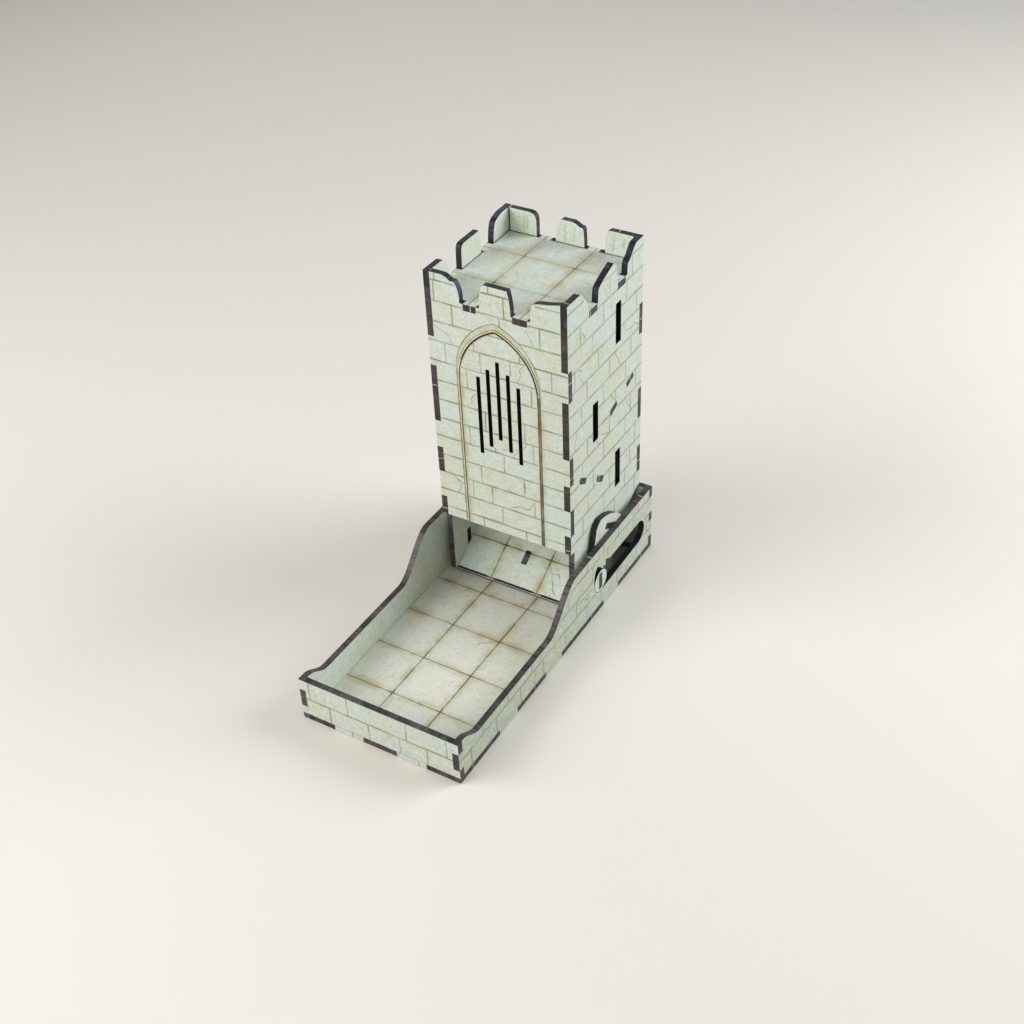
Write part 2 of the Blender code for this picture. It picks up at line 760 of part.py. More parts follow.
def build():
    clear_scene()
    group = new_collection("dice_tower")
    cutters = new_collection("cutters")
    root = carrier("tray_carrier", Vector((0, 0, 0)), group)
    pivot = Vector((0, from_front(pivot_back), pivot_height))
    tower = carrier("tower_carrier", pivot, group)
    slider = carrier("pivot_carrier", pivot, group)

    tray_floor(group, root)
    tray_front_wall(group, root)
    tray_rear_wall(group, root)
    front_fingers, rear_fingers = tower_finger_spans()
    upright_wall("tower_front_wall", front_merlon_shares, roof_front_tab_shares, doorway_top,
                 front_fingers, front_slits(), tower_front + board / 2, group, tower)
    upright_wall("tower_rear_wall", rear_merlon_shares, roof_rear_tab_shares, rear_wall_foot,
                 rear_fingers, [rear_entry()], tower_rear - board / 2, group, tower)
    roof_plate(group, tower)
    upper_baffle(group, tower)
    lower_baffle(group, tower)
    exit_ramp(group, tower, cutters)
    ramp_rib(group, tower)
    tower_side_wall("tower_left_wall", -1, left_merlon_shares, roof_left_tab_shares, group, tower)
    tower_side_wall("tower_right_wall", 1, right_merlon_shares, roof_right_tab_shares, group, tower)
    for word, side in (("left", -1), ("right", 1)):
        tray_side_wall("tray_" + word + "_wall", side, group, root)
        hinge_plate(word + "_hinge_plate", side, group, tower)
        plate_key(word + "_plate_key", side, group, tower)
        pivot_disc(word + "_pivot_disc", side, group, slider)
        pivot_key(word + "_pivot_key", side, group, slider)


build()
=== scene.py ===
"""The looks of a folding castle dice tower of laser-cut fibreboard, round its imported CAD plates.

The plates keep their CAD shapes and get pale board faces with charred cut edges. Everything that
the laser drew on them, stone courses, flagstones, cracks and the blind arch, is a raised hairline
of its own, laid on the plate that carries it. Lengths in the tables are in millimetres: x from the
tray's middle, y back from the tray's front face, z up from the table.
"""

import math

import bpy
import numpy as np
from mathutils import Matrix, Vector
from mathutils.bvhtree import BVHTree


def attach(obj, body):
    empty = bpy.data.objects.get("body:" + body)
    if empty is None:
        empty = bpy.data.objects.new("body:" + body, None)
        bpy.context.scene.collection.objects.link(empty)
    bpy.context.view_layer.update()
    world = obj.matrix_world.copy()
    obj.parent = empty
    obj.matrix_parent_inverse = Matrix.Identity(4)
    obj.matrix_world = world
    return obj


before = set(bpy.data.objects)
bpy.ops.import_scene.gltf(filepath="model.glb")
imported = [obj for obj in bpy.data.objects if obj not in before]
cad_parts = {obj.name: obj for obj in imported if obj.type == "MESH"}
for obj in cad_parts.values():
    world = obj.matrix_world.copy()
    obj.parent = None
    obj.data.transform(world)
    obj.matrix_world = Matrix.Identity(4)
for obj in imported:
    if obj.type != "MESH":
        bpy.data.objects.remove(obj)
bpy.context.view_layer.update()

MM = 0.001
TRAY_FRONT = 90.5          # the tray's front face, ahead of the origin

# Plates: half widths and places that the lines refer to
TOWER_FRONT = 110.4
TOWER_REAR = 179.8
TOWER_HALF = 35.0
TRAY_HALF = 41.5
TRAY_REAR = 181.0
BOARD = 3.0
FLOOR_TOP = BOARD
ROOF_TOP = 161.3
RAMP_FRONT = 114.2
RAMP_FRONT_HEIGHT = 6.0
RAMP_RISE = math.tan(math.radians(31.6))


# Lines that the laser drew

COURSES = (47.3, 57.5, 67.7, 77.8, 88.1, 98.2, 108.4, 118.6, 128.9, 139.1, 149.1, 159.3, 169.4)
TOP = 173.2

# Stone joints of each tower face, from the lowest course up: places across the face
FRONT_JOINTS = (
    (42.0, 0, (-11.6, 11.4)), (0, 1, (-1.1,)), (1, 2, (-16.5, -6.1, 16.5)), (2, 3, (-11.4, 11.3)),
    (3, 4, (1.2,)), (4, 5, (-16.4, -3.1, 16.7)), (5, 6, (-7.6, 12.7)),
    (7, 8, (-16.2, 16.7)), (8, 9, (-26.6, -8.7, 6.6, 27.0)), (9, 10, (-11.6, 11.5)),
    (10, 11, (-21.6, 2.0, 21.7)), (11, 12, (-30.3, 4.6)), (12, TOP, (-29.4, -2.7)))
SIDE_JOINTS = (
    (30.0, 0, (153.3, 174.0)), (0, 1, (121.8, 142.3, 163.6)), (1, 2, (127.1, 148.0, 168.7)),
    (2, 3, (132.3, 152.7, 173.6)), (3, 4, (122.0, 142.2, 163.6)), (4, 5, (126.8, 147.8, 168.7)),
    (5, 6, (153.8, 173.8)), (6, 7, (121.4, 142.3, 163.5)), (7, 8, (126.8, 147.8, 168.7)),
    (8, 9, (116.1, 137.4)), (9, 10, (132.0, 173.5)), (10, 11, (121.3, 142.3, 163.7)),
    (11, 12, (147.9, 169.0)), (12, TOP, (144.2,)))
REAR_JOINTS = (
    (37.0, 0, (-17.0, 5.5, 24.0)), (0, 1, (-26.0, -6.0, 15.5)), (1, 2, (-15.5, 4.0, 25.0)),
    (2, 3, (-23.5, -2.5, 17.0)), (3, 4, (-12.5, 8.0, 27.0)), (4, 5, (-25.0, -4.5, 15.0)),
    (5, 6, (-16.0, 5.0, 24.5)), (6, 7, (-24.0, -3.0, 18.0)), (7, 8, (-28.0, 25.5)),
    (8, 9, (-25.5, 28.5)), (9, 10, (-29.0, 25.0)), (10, 11, (-22.0, -1.0, 19.5)),
    (11, 12, (-13.0, 8.5, 26.5)), (12, TOP, (-27.0, -2.0)))
TRAY_COURSES = (12.7, 22.3, 32.0)
TRAY_FRONT_JOINTS = (
    (0.0, 3.1, (-15.0, 20.2)), (3.1, 0, (-25.9, -5.2, 10.9, 25.2)), (0, 24.0, (-36.3, -15.8, 15.0, 35.5)))
TRAY_FRONT_FOOT_LINES = ((-24.0, -9.2), (8.9, 23.8))
TRAY_SIDE_JOINTS = (
    (3.1, 0, (9.5, 30.3, 51.0, 63.6, 71.5, 92.5, 113.0, 127.3, 144.0, 164.7)),
    (0, 1, (19.7, 40.4, 61.2, 82.1, 103.0, 175.3)),
    (1, 2, (95.1, 118.8, 134.2, 160.5)),
    (2, 38.0, (113.8, 129.8, 145.1, 165.9)))
TRAY_REAR_JOINTS = (
    (3.1, 0, (-27.0, -8.5, 11.5, 30.5)), (0, 1, (-17.5, 2.0, 21.5)), (1, 2, (-28.0, -7.5, 12.0, 29.0)),
    (2, 38.0, (-18.0, 3.5, 22.0)))

# Flagstones: places of the lines across and along
FLOOR_ACROSS = (28.8, 54.7, 80.3, 106.3)
FLOOR_ALONG = (-13.1, 12.6)
ROOF_ACROSS = (132.3, 158.6)
ROOF_ALONG = (-13.4, 12.3)
RAMP_ACROSS = (130.2, 155.6)
RAMP_ALONG = (-12.8, 12.7)

FRONT_CRACKS = (
    ((-31.2, 147.2), (-29.0, 145.6), (-26.4, 144.6), (-24.0, 142.8), (-22.6, 140.8), (-22.2, 139.3)),
    ((14.8, 157.0), (15.4, 155.4), (17.0, 153.4), (17.9, 151.4), (17.8, 149.2)),
    ((13.8, 138.9), (12.6, 137.6), (11.1, 136.0), (11.9, 133.8), (10.8, 131.2), (9.9, 129.2)),
    ((-11.7, 116.9), (-14.2, 114.6), (-14.5, 113.2), (-13.8, 112.0), (-15.0, 110.4), (-17.2, 109.2),
     (-19.4, 108.3)),
    ((0.4, 90.9), (3.2, 91.4), (6.8, 92.5), (9.6, 93.5)),
    ((11.9, 94.0), (12.4, 96.2), (13.2, 97.4), (14.4, 98.2)),
    ((5.8, 88.4), (7.0, 90.3), (8.8, 91.4), (9.3, 92.6)),
    ((-28.4, 67.7), (-26.2, 66.4), (-24.8, 65.2), (-23.4, 63.6), (-23.3, 60.7), (-24.9, 57.8)),
    ((-25.0, 65.4), (-23.2, 64.8), (-21.9, 63.4)),
    ((2.2, 57.5), (4.7, 59.5), (7.6, 60.7), (10.2, 61.6), (12.0, 60.5), (13.6, 61.3), (15.2, 64.0),
     (15.4, 66.0)),
    ((-12.6, 47.9), (-9.2, 47.9), (-3.2, 48.1), (1.2, 47.8), (3.4, 47.1), (6.4, 46.9)),
    ((11.5, 75.9), (11.9, 73.0), (11.6, 69.0)))
SIDE_CRACKS = (
    ((118.8, 138.3), (120.4, 137.2), (122.3, 135.6)),
    ((121.2, 132.8), (122.3, 130.4), (124.3, 128.3)),
    ((162.5, 134.5), (165.2, 133.2), (167.6, 132.5), (170.2, 132.8), (171.9, 133.6), (174.0, 131.6),
     (176.4, 129.8)),
    ((153.0, 127.8), (154.6, 125.2), (156.0, 122.4), (157.6, 119.9), (158.7, 118.3)),
    ((138.2, 108.0), (142.6, 107.6), (147.8, 108.1), (149.8, 107.0), (151.8, 104.2), (153.4, 101.9)),
    ((128.5, 98.0), (130.4, 96.4), (131.9, 94.3)),
    ((135.6, 90.9), (136.8, 88.8), (137.9, 87.5)),
    ((139.6, 91.2), (143.2, 90.3), (145.4, 89.0), (147.8, 88.0)),
    ((164.2, 97.4), (164.4, 94.8), (167.2, 91.2), (168.8, 88.9), (170.5, 85.8)),
    ((170.8, 149.4), (172.6, 148.9), (173.5, 147.4)),
    ((123.0, 154.0), (124.6, 152.2), (125.6, 148.8)),
    ((116.4, 107.7), (117.2, 105.0), (115.2, 102.0), (114.6, 97.8)),
    ((168.0, 46.2), (166.4, 43.4), (164.4, 40.6)))
TRAY_SIDE_CRACKS = (
    ((102.9, 19.9), (106.2, 19.2), (111.2, 18.6), (115.4, 18.9), (119.6, 18.2)),
    ((112.0, 17.6), (113.4, 16.0), (114.6, 14.4)),
    ((144.6, 10.8), (147.0, 9.3), (150.6, 9.6)),
    ((24.3, 15.2), (24.6, 12.8), (24.2, 9.4)))
FLOOR_CRACKS = (
    ((4.6, 73.2), (5.0, 76.5), (8.0, 76.7), (10.2, 79.0), (11.9, 80.0)),
    ((-33.4, 30.4), (-31.4, 32.0), (-29.2, 31.6)))
RAMP_CRACKS = (
    ((12.8, 129.5), (14.2, 126.5), (16.4, 125.0), (16.6, 123.3), (19.3, 120.2), (19.5, 118.6),
     (21.9, 116.8)),
    ((16.4, 125.0), (18.8, 125.2), (19.5, 125.9), (20.9, 123.7)))


def plane(origin, across, up, outward):
    """A plate's face: where its measures start, their two directions and the way that it faces."""
    origin = (np.array(origin, float) - np.array((0, TRAY_FRONT, 0))) * MM
    return origin, np.array(across, float), np.array(up, float), np.array(outward, float)


RAMP_LENGTH = math.hypot(1, RAMP_RISE)
FACES = {
    "tower_front": plane((0, TOWER_FRONT, 0), (1, 0, 0), (0, 0, 1), (0, -1, 0)),
    "tower_rear": plane((0, TOWER_REAR, 0), (1, 0, 0), (0, 0, 1), (0, 1, 0)),
    "tower_left": plane((-TOWER_HALF, 0, 0), (0, 1, 0), (0, 0, 1), (-1, 0, 0)),
    "tower_right": plane((TOWER_HALF, 0, 0), (0, 1, 0), (0, 0, 1), (1, 0, 0)),
    "tower_rear_inner": plane((0, TOWER_REAR - BOARD, 0), (1, 0, 0), (0, 0, 1), (0, -1, 0)),
    "tower_front_inner": plane((0, TOWER_FRONT + BOARD, 0), (1, 0, 0), (0, 0, 1), (0, 1, 0)),
    "tower_left_inner": plane((BOARD - TOWER_HALF, 0, 0), (0, 1, 0), (0, 0, 1), (1, 0, 0)),
    "tower_right_inner": plane((TOWER_HALF - BOARD, 0, 0), (0, 1, 0), (0, 0, 1), (-1, 0, 0)),
    "roof": plane((0, 0, ROOF_TOP), (1, 0, 0), (0, 1, 0), (0, 0, 1)),
    "ramp": plane((0, 0, RAMP_FRONT_HEIGHT - RAMP_FRONT * RAMP_RISE), (1, 0, 0), (0, 1, RAMP_RISE),
                  (0, -RAMP_RISE / RAMP_LENGTH, 1 / RAMP_LENGTH)),
    "tray_floor": plane((0, 0, FLOOR_TOP), (1, 0, 0), (0, 1, 0), (0, 0, 1)),
    "tray_front": plane((0, 0, 0), (1, 0, 0), (0, 0, 1), (0, -1, 0)),
    "tray_rear": plane((0, TRAY_REAR, 0), (1, 0, 0), (0, 0, 1), (0, 1, 0)),
    "tray_left": plane((-TRAY_HALF, 0, 0), (0, 1, 0), (0, 0, 1), (-1, 0, 0)),
    "tray_right": plane((TRAY_HALF, 0, 0), (0, 1, 0), (0, 0, 1), (1, 0, 0)),
}

# A hairline's cross-section: (share of its half width, lift above the plate in mm, burn from 0 to 1).
# The lift grows with the burn, so that where two lines cross the darker one is on top.
HAIRLINE = ((-1.0, 0.004, 0.0), (-0.5, 0.009, 0.3), (-0.17, 0.018, 0.8), (0.0, 0.022, 1.0),
            (0.17, 0.018, 0.8), (0.5, 0.009, 0.3), (1.0, 0.004, 0.0))
HAIRLINE_FOOT = -0.06
TIP_WIDTH = 0.45           # the share of its width that a tapered line keeps at its tips
NARROW = 0.9               # a wider stroke has to have its margins on the plate too
SAMPLE_STEP = 0.1
POINT_STEP = 0.9
LEAST_SAMPLES = 4          # a stretch of no more samples than these is dropped
WAVES = ((5.3, 0.6), (2.1, 0.4))    # how a line wavers: each wave's mm per radian, and its share
TONES = (0.86, 1.1)        # the strength of a stretch varies by a share between these
FACE_TOLERANCE = 0.00005
PROBE = 0.0004


def resampled(line, step):
    """The same line with points at even distances: its length is cut into equal runs of about a step."""
    line = np.asarray(line, float)
    lengths = np.concatenate([[0], np.cumsum(np.hypot(*np.diff(line, axis=0).T))])
    count = max(2, int(round(lengths[-1] / step)) + 1)
    at = np.linspace(0, lengths[-1], count)
    return np.column_stack([np.interp(at, lengths, line[:, k]) for k in (0, 1)])


def smoothed(line, passes=2):
    """A line with its corners cut at a quarter and three quarters of each run, its two ends kept."""
    line = np.asarray(line, float)
    for _ in range(passes):
        early = line[:-1] * 0.75 + line[1:] * 0.25
        late = line[:-1] * 0.25 + line[1:] * 0.75
        line = np.vstack([line[:1], np.stack([early, late], 1).reshape(-1, 2), line[-1:]])
    return line


def sideways(line):
    """At each point of a line, the way to its left: its direction turned by a quarter, one long."""
    tangent = np.gradient(line, axis=0)
    tangent /= np.maximum(np.hypot(*tangent.T), 1e-9)[:, None]
    return np.column_stack([-tangent[:, 1], tangent[:, 0]])


def unsteady(line, random, drift):
    """A line pushed sideways by two slow sine waves of random phase, as a drawn line wanders."""
    line = resampled(line, SAMPLE_STEP)
    run = np.hypot(*(line[-1] - line[0]))
    along = np.linspace(0, run, len(line))
    phases = random.uniform(0, math.tau, len(WAVES))
    push = sum(np.sin(along / length + phase) * share for (length, share), phase in zip(WAVES, phases))
    return line + sideways(line) * (push * drift)[:, None]


def plate_tree(node):
    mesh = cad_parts[node].data
    points = [vertex.co.copy() for vertex in mesh.vertices]
    return BVHTree.FromPolygons(points, [tuple(polygon.vertices) for polygon in mesh.polygons])


def laid_on(face, flat, lift):
    """Points of a face's plane, in mm, lifted off it by as many mm, as places in the scene."""
    origin, across, up, outward = face
    grid = origin + flat[..., :1] * MM * across + flat[..., 1:] * MM * up
    return grid + lift[..., None] * MM * outward


def on_plate(face, tree, line):
    """Which points of a line have the plate's own face under them."""
    origin, across, up, outward = face
    points = origin + line[:, :1] * MM * across + line[:, 1:] * MM * up + outward * PROBE
    ray = Vector(-outward)
    hits = [tree.ray_cast(Vector(point), ray, 2 * PROBE)[3] for point in points]
    return np.array([hit is not None and abs(hit - PROBE) < FACE_TOLERANCE for hit in hits])


def runs_where(line, there):
    """The stretches of a line whose points are marked, but for the shortest."""
    edges = np.flatnonzero(np.diff(np.concatenate([[False], there, [False]]).astype(int)))
    return [line[start:end] for start, end in edges.reshape(-1, 2) if end - start > LEAST_SAMPLES]


def hairline(line, half_width, taper, peak):
    """A hairline along a path, as plane points and lifts: each path point carries the cross-section,
    turned square to the path, lowered to its peak and narrowed towards the ends where it tapers.
    """
    section = np.array(HAIRLINE) * (1, peak, peak)
    section = np.vstack([section, [(1.0, HAIRLINE_FOOT, 0.0), (-1.0, HAIRLINE_FOOT, 0.0)]])
    width = np.full(len(line), half_width)
    if taper:
        bulge = np.sqrt(np.clip(np.sin(np.linspace(0, 1, len(line)) * math.pi), 0, 1))
        width = width * (TIP_WIDTH + (1 - TIP_WIDTH) * bulge)
    flat = line[:, None] + sideways(line)[:, None] * (section[None, :, :1] * width[:, None, None])
    lift = np.broadcast_to(section[None, :, 1], flat.shape[:2])
    burn = np.broadcast_to(section[None, :, 2], flat.shape[:2])
    return flat, lift, burn


def margins(line, half_width):
    """The two lines that run beside a line, half a width away to either side."""
    side = sideways(line) * half_width
    return line - side, line + side


def tube_faces(count, sides, start):
    """Quads of a closed tube of count rings of so many sides, and its two end faces."""
    ring = np.arange(count - 1)[:, None] * sides
    here = np.arange(sides)[None, :]
    there = (here + 1) % sides
    quads = np.stack([ring + here, ring + there, ring + sides + there, ring + sides + here], -1)
    quads = (quads.reshape(-1, 4) + start).tolist()
    first = list(range(start, start + sides))[::-1]
    last = list(range(start + (count - 1) * sides, start + count * sides))
    return quads + [first, last]


def surface_from(name, points, faces, attributes):
    """A mesh object at the origin from arrays of points and faces and of a value for each point."""
    mesh = bpy.data.meshes.new(name)
    mesh.from_pydata(points.tolist(), [], faces)
    for label, values in attributes.items():
        layer = mesh.attributes.new(label, "FLOAT", "POINT")
        layer.data.foreach_set("value", np.ascontiguousarray(values, np.float32))
    mesh.update()
    piece = bpy.data.objects.new(name, mesh)
    bpy.context.scene.collection.objects.link(piece)
    return piece


def engraving(name, node, face_name, strokes, seed, body, material=None):
    """All the hairlines of one plate's face as one piece.

    A stroke is a line and the pen that draws it. It is broken off where the plate's face ends, and
    a wide one also where its margins would leave the face.
    """
    face = FACES[face_name]
    origin, across, up, outward = face
    tree = plate_tree(node)
    random = np.random.default_rng(seed)
    turned_over = np.dot(np.cross(across, up), outward) < 0
    points, faces, burns, tones = [], [], [], []
    start = 0
    for line, (half_width, strength, drift, tapered, peak) in strokes:
        line = unsteady(line, random, drift)
        there = on_plate(face, tree, line)
        if half_width > NARROW:
            for edge in margins(line, half_width):
                there = there & on_plate(face, tree, edge)
        for run in runs_where(line, there):
            flat, lift, burn = hairline(resampled(run, POINT_STEP), half_width, tapered, peak)
            tone = strength * random.uniform(*TONES)
            grid = laid_on(face, flat, lift)
            if not turned_over:
                grid, burn = grid[:, ::-1], burn[:, ::-1]
            points.append(grid.reshape(-1, 3))
            faces += tube_faces(*grid.shape[:2], start)
            burns.append(burn.ravel())
            tones.append(np.full(burn.size, tone))
            start += burn.size
    piece = surface_from(name, np.vstack(points), faces,
                         {"burn": np.concatenate(burns), "tone": np.concatenate(tones)})
    piece.data.materials.append(material or scorched_line)
    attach(piece, body)
    return piece


# Materials

def group_of(name, inputs, outputs):
    """An empty node group with named sockets."""
    tree = bpy.data.node_groups.new(name, "ShaderNodeTree")
    for label, kind, default in inputs:
        socket = tree.interface.new_socket(label, in_out="INPUT", socket_type=kind)
        if default is not None:
            socket.default_value = default
    for label, kind in outputs:
        tree.interface.new_socket(label, in_out="OUTPUT", socket_type=kind)
    return tree, tree.nodes.new("NodeGroupInput"), tree.nodes.new("NodeGroupOutput")


def node_of(tree, kind, **settings):
    node = tree.nodes.new(kind)
    for label, value in settings.items():
        setattr(node, label, value)
    return node


def wire(tree, source, target):
    tree.links.new(source, target)


def noise(tree, coordinates, scale, detail=3.0, roughness=0.5, stretch=None):
    """A noise field's value on given coordinates, which may be stretched first."""
    if stretch is not None:
        mapping = node_of(tree, "ShaderNodeMapping")
        mapping.inputs["Scale"].default_value = stretch
        wire(tree, coordinates, mapping.inputs["Vector"])
        coordinates = mapping.outputs["Vector"]
    field = node_of(tree, "ShaderNodeTexNoise")
    field.inputs["Scale"].default_value = scale
    field.inputs["Detail"].default_value = detail
    field.inputs["Roughness"].default_value = roughness
    wire(tree, coordinates, field.inputs["Vector"])
    return field.outputs["Fac"]


def ramp_between(tree, value, low, high):
    """The value's share of the way from low to high, smoothed and held within 0 and 1."""
    node = node_of(tree, "ShaderNodeMapRange", interpolation_type="SMOOTHSTEP")
    node.inputs["From Min"].default_value = low
    node.inputs["From Max"].default_value = high
    wire(tree, value, node.inputs["Value"])
    return node.outputs["Result"]


def between(tree, length, low, high):
    """One where a length lies between two, given in millimetres, and nought elsewhere."""
    above = reckoned(tree, "GREATER_THAN", length, low * MM)
    return reckoned(tree, "MULTIPLY", above, reckoned(tree, "LESS_THAN", length, high * MM))


def blended(tree, share, first, second, mode="MIX"):
    """Two colours mixed; each is a socket or a plain colour."""
    node = node_of(tree, "ShaderNodeMix", data_type="RGBA", blend_type=mode)
    for socket, value in ((node.inputs[0], share), (node.inputs[6], first), (node.inputs[7], second)):
        if isinstance(value, bpy.types.NodeSocket):
            wire(tree, value, socket)
        else:
            socket.default_value = value
    return node.outputs[2]


def reckoned(tree, operation, *values):
    """One step of arithmetic on sockets or plain numbers."""
    node = node_of(tree, "ShaderNodeMath", operation=operation)
    for socket, value in zip(node.inputs, values):
        if isinstance(value, bpy.types.NodeSocket):
            wire(tree, value, socket)
        else:
            socket.default_value = value
    return node.outputs[0]


def colour(red, green, blue):
    """A colour as it is seen, from 0 to 255, turned to the linear values that shaders take."""
    seen = np.array((red, green, blue)) / 255
    linear = np.where(seen <= 0.04045, seen / 12.92, ((seen + 0.055) / 1.055) ** 2.4)
    return (*linear.tolist(), 1.0)


def laid_over(tree, base, mask, strength, tint):
    """A colour laid over another where a mask is above nought, at a given strength."""
    return blended(tree, reckoned(tree, "MULTIPLY", mask, strength), base, tint)


# Noises, as (scale, detail, roughness) and where it is stretched (x, y, z)
CLOUD_NOISE = (70.0, 5.0, 0.7)
BLUSH_NOISE = (150.0, 3.0, 0.6, (1.0, 1.0, 1.3))
WASH_NOISE = (330.0, 3.0, 0.65)
FIBRE_NOISE = (1000.0, 2.0, 0.6)
FLECK_NOISE = (700.0, 1.0, 0.5)
PATCH_NOISE = (95.0, 3.0, 0.6)
STRIPE_NOISE = (900.0, 2.0, 0.55)
PAINTED_GLINT_NOISE = (210.0, 2.0, 0.5)

COOL = colour(204, 214, 206)
WARM = colour(207, 209, 186)
CLOUDS_BETWEEN = (0.36, 0.70)
FIBRE_STRENGTH = 0.55

# Layers on the board's clouds, each over the last: its noise, the values between which it grows, its
# strength, where it has its own and not the fibres', and its colour
BOARD_LAYERS = (
    (BLUSH_NOISE, (0.50, 0.68), 0.6, colour(210, 206, 198)),
    (WASH_NOISE, (0.54, 0.70), 0.5, colour(222, 228, 224)),
    (WASH_NOISE, (0.46, 0.30), 0.4, colour(186, 186, 162)),
    (FIBRE_NOISE, (0.54, 0.74), None, colour(232, 236, 230)),
    (FIBRE_NOISE, (0.46, 0.26), None, colour(160, 162, 142)),
    (FLECK_NOISE, (0.70, 0.76), 0.3, colour(150, 148, 126)),
)


def build_board_group():
    """Pale pressed fibreboard: cloudy patches of warm and cool, and short dark and light fibres."""
    tree, given, result = group_of(
        "pressed_fibreboard",
        [("Coordinates", "NodeSocketVector", None), ("Cool", "NodeSocketColor", COOL),
         ("Warm", "NodeSocketColor", WARM), ("Fibre", "NodeSocketFloat", FIBRE_STRENGTH)],
        [("Colour", "NodeSocketColor"), ("Height", "NodeSocketFloat")])
    place = given.outputs["Coordinates"]
    clouds = ramp_between(tree, noise(tree, place, *CLOUD_NOISE), *CLOUDS_BETWEEN)
    base = blended(tree, clouds, given.outputs["Cool"], given.outputs["Warm"])
    fields = {}
    for field, limits, strength, tint in BOARD_LAYERS:
        if field not in fields:
            fields[field] = noise(tree, place, *field)
        mask = ramp_between(tree, fields[field], *limits)
        base = laid_over(tree, base, mask, strength or given.outputs["Fibre"], tint)
    wire(tree, base, result.inputs["Colour"])
    wire(tree, fields[FIBRE_NOISE], result.inputs["Height"])
    return tree


# Char, in its dull and its ashy patches: low on the tray, and darker on the tower above it
TRAY_CHAR = (colour(64, 58, 56), colour(93, 87, 84))
TOWER_CHAR = (colour(55, 50, 47), colour(80, 75, 70))
CHAR_TURNS = (43.0, 47.0)      # the heights in mm between which the one gives way to the other
PATCHES_BETWEEN = (0.36, 0.68)
STRIPES_BETWEEN = (0.38, 0.72)
STRIPE_TINT = colour(40, 36, 39)
CHAR_GLOSS = (0.25, 0.36)      # how much the stripes add to the roughness, and its least value

# Darker char towards the tops of the merlons' edges, with painted reflection there as bluish glints, and
# painted shade on the hinge plates' edges
MERLON_CHAR_BETWEEN = (ROOF_TOP - 2.4, ROOF_TOP + 1.2)
MERLON_CHAR_STRENGTH = 0.86
MERLON_CHAR_AND_GLINT_TINTS = (colour(27, 26, 30), colour(60, 68, 90))
PAINTED_GLINTS_BETWEEN = (0.52, 0.66)
HINGE_SHADE_BETWEEN = (TOWER_HALF + 0.05, TRAY_HALF - BOARD - 0.05)
HINGE_SHADE_STRENGTH = 0.65
HINGE_SHADE_TINT = colour(30, 28, 28)

# Edges painted black as the shade deep in the openings, each in a box given in mm to either side of the
# middle, along and up:
# the side walls' openings, the front wall's slits and the guide slots
OPENING_SHADE_EDGES = (
    (((20.0, TOWER_HALF - 0.06), (TOWER_FRONT + BOARD + 0.5, TOWER_REAR - BOARD - 0.5),
      (46.0, ROOF_TOP - 4.5)), colour(9, 8, 8)),
    (((-1.0, 15.0), (TRAY_FRONT, TOWER_FRONT + BOARD + 0.1), (46.0, 150.0)), colour(9, 8, 8)),
    (((TRAY_HALF - BOARD, TRAY_HALF - 0.04), (120.5, 170.5), (9.0, 30.0)), colour(24, 23, 24)),
)


def in_box(tree, box, aside, along, up):
    """One inside a box and its mirror image across the middle, and nought elsewhere."""
    mask = between(tree, aside, *box[0])
    mask = reckoned(tree, "MULTIPLY", mask, between(tree, along, *(y - TRAY_FRONT for y in box[1])))
    return reckoned(tree, "MULTIPLY", mask, between(tree, up, *box[2]))


def build_char_group():
    """A laser-charred edge: brown-black with fine burn stripes square to the sheet, ashy in places.

    It is darker on the tower than on the tray, and darker again towards the merlons' tops, where it carries
    painted bluish glints. The hinge plates' edges get painted shade, and the openings get painted black
    shade.
    """
    tree, given, result = group_of(
        "charred_edge",
        [("Coordinates", "NodeSocketVector", None), ("Stripes", "NodeSocketVector", None)],
        [("Colour", "NodeSocketColor"), ("Roughness", "NodeSocketFloat"), ("Height", "NodeSocketFloat")])
    place = given.outputs["Coordinates"]
    apart = node_of(tree, "ShaderNodeSeparateXYZ")
    wire(tree, place, apart.inputs[0])
    aside = reckoned(tree, "ABSOLUTE", apart.outputs["X"])
    along, up = apart.outputs["Y"], apart.outputs["Z"]
    tall = ramp_between(tree, up, *(height * MM for height in CHAR_TURNS))
    dull, ashy = (blended(tree, tall, low, high) for low, high in zip(TRAY_CHAR, TOWER_CHAR))
    patches = ramp_between(tree, noise(tree, place, *PATCH_NOISE), *PATCHES_BETWEEN)
    base = blended(tree, patches, dull, ashy)
    stripes = noise(tree, given.outputs["Stripes"], *STRIPE_NOISE)
    base = blended(tree, ramp_between(tree, stripes, *STRIPES_BETWEEN), base, STRIPE_TINT)
    # painted shade: the hinge plates' edges, in the gap between tower and tray, made darker
    base = laid_over(tree, base, between(tree, aside, *HINGE_SHADE_BETWEEN), HINGE_SHADE_STRENGTH, HINGE_SHADE_TINT)
    # painted reflection: bluish glints laid into the char's colour near the merlons' tops
    painted_glints = ramp_between(tree, noise(tree, place, *PAINTED_GLINT_NOISE), *PAINTED_GLINTS_BETWEEN)
    merlon_char = ramp_between(tree, up, *(height * MM for height in MERLON_CHAR_BETWEEN))
    base = laid_over(tree, base, merlon_char, MERLON_CHAR_STRENGTH, blended(tree, painted_glints, *MERLON_CHAR_AND_GLINT_TINTS))
    # painted shade: the char deep in the openings turned black
    for box, tint in OPENING_SHADE_EDGES:
        base = blended(tree, in_box(tree, box, aside, along, up), base, tint)
    wire(tree, base, result.inputs["Colour"])
    wire(tree, reckoned(tree, "MULTIPLY_ADD", stripes, *CHAR_GLOSS), result.inputs["Roughness"])
    wire(tree, stripes, result.inputs["Height"])
    return tree


board_group = build_board_group()
char_group = build_char_group()

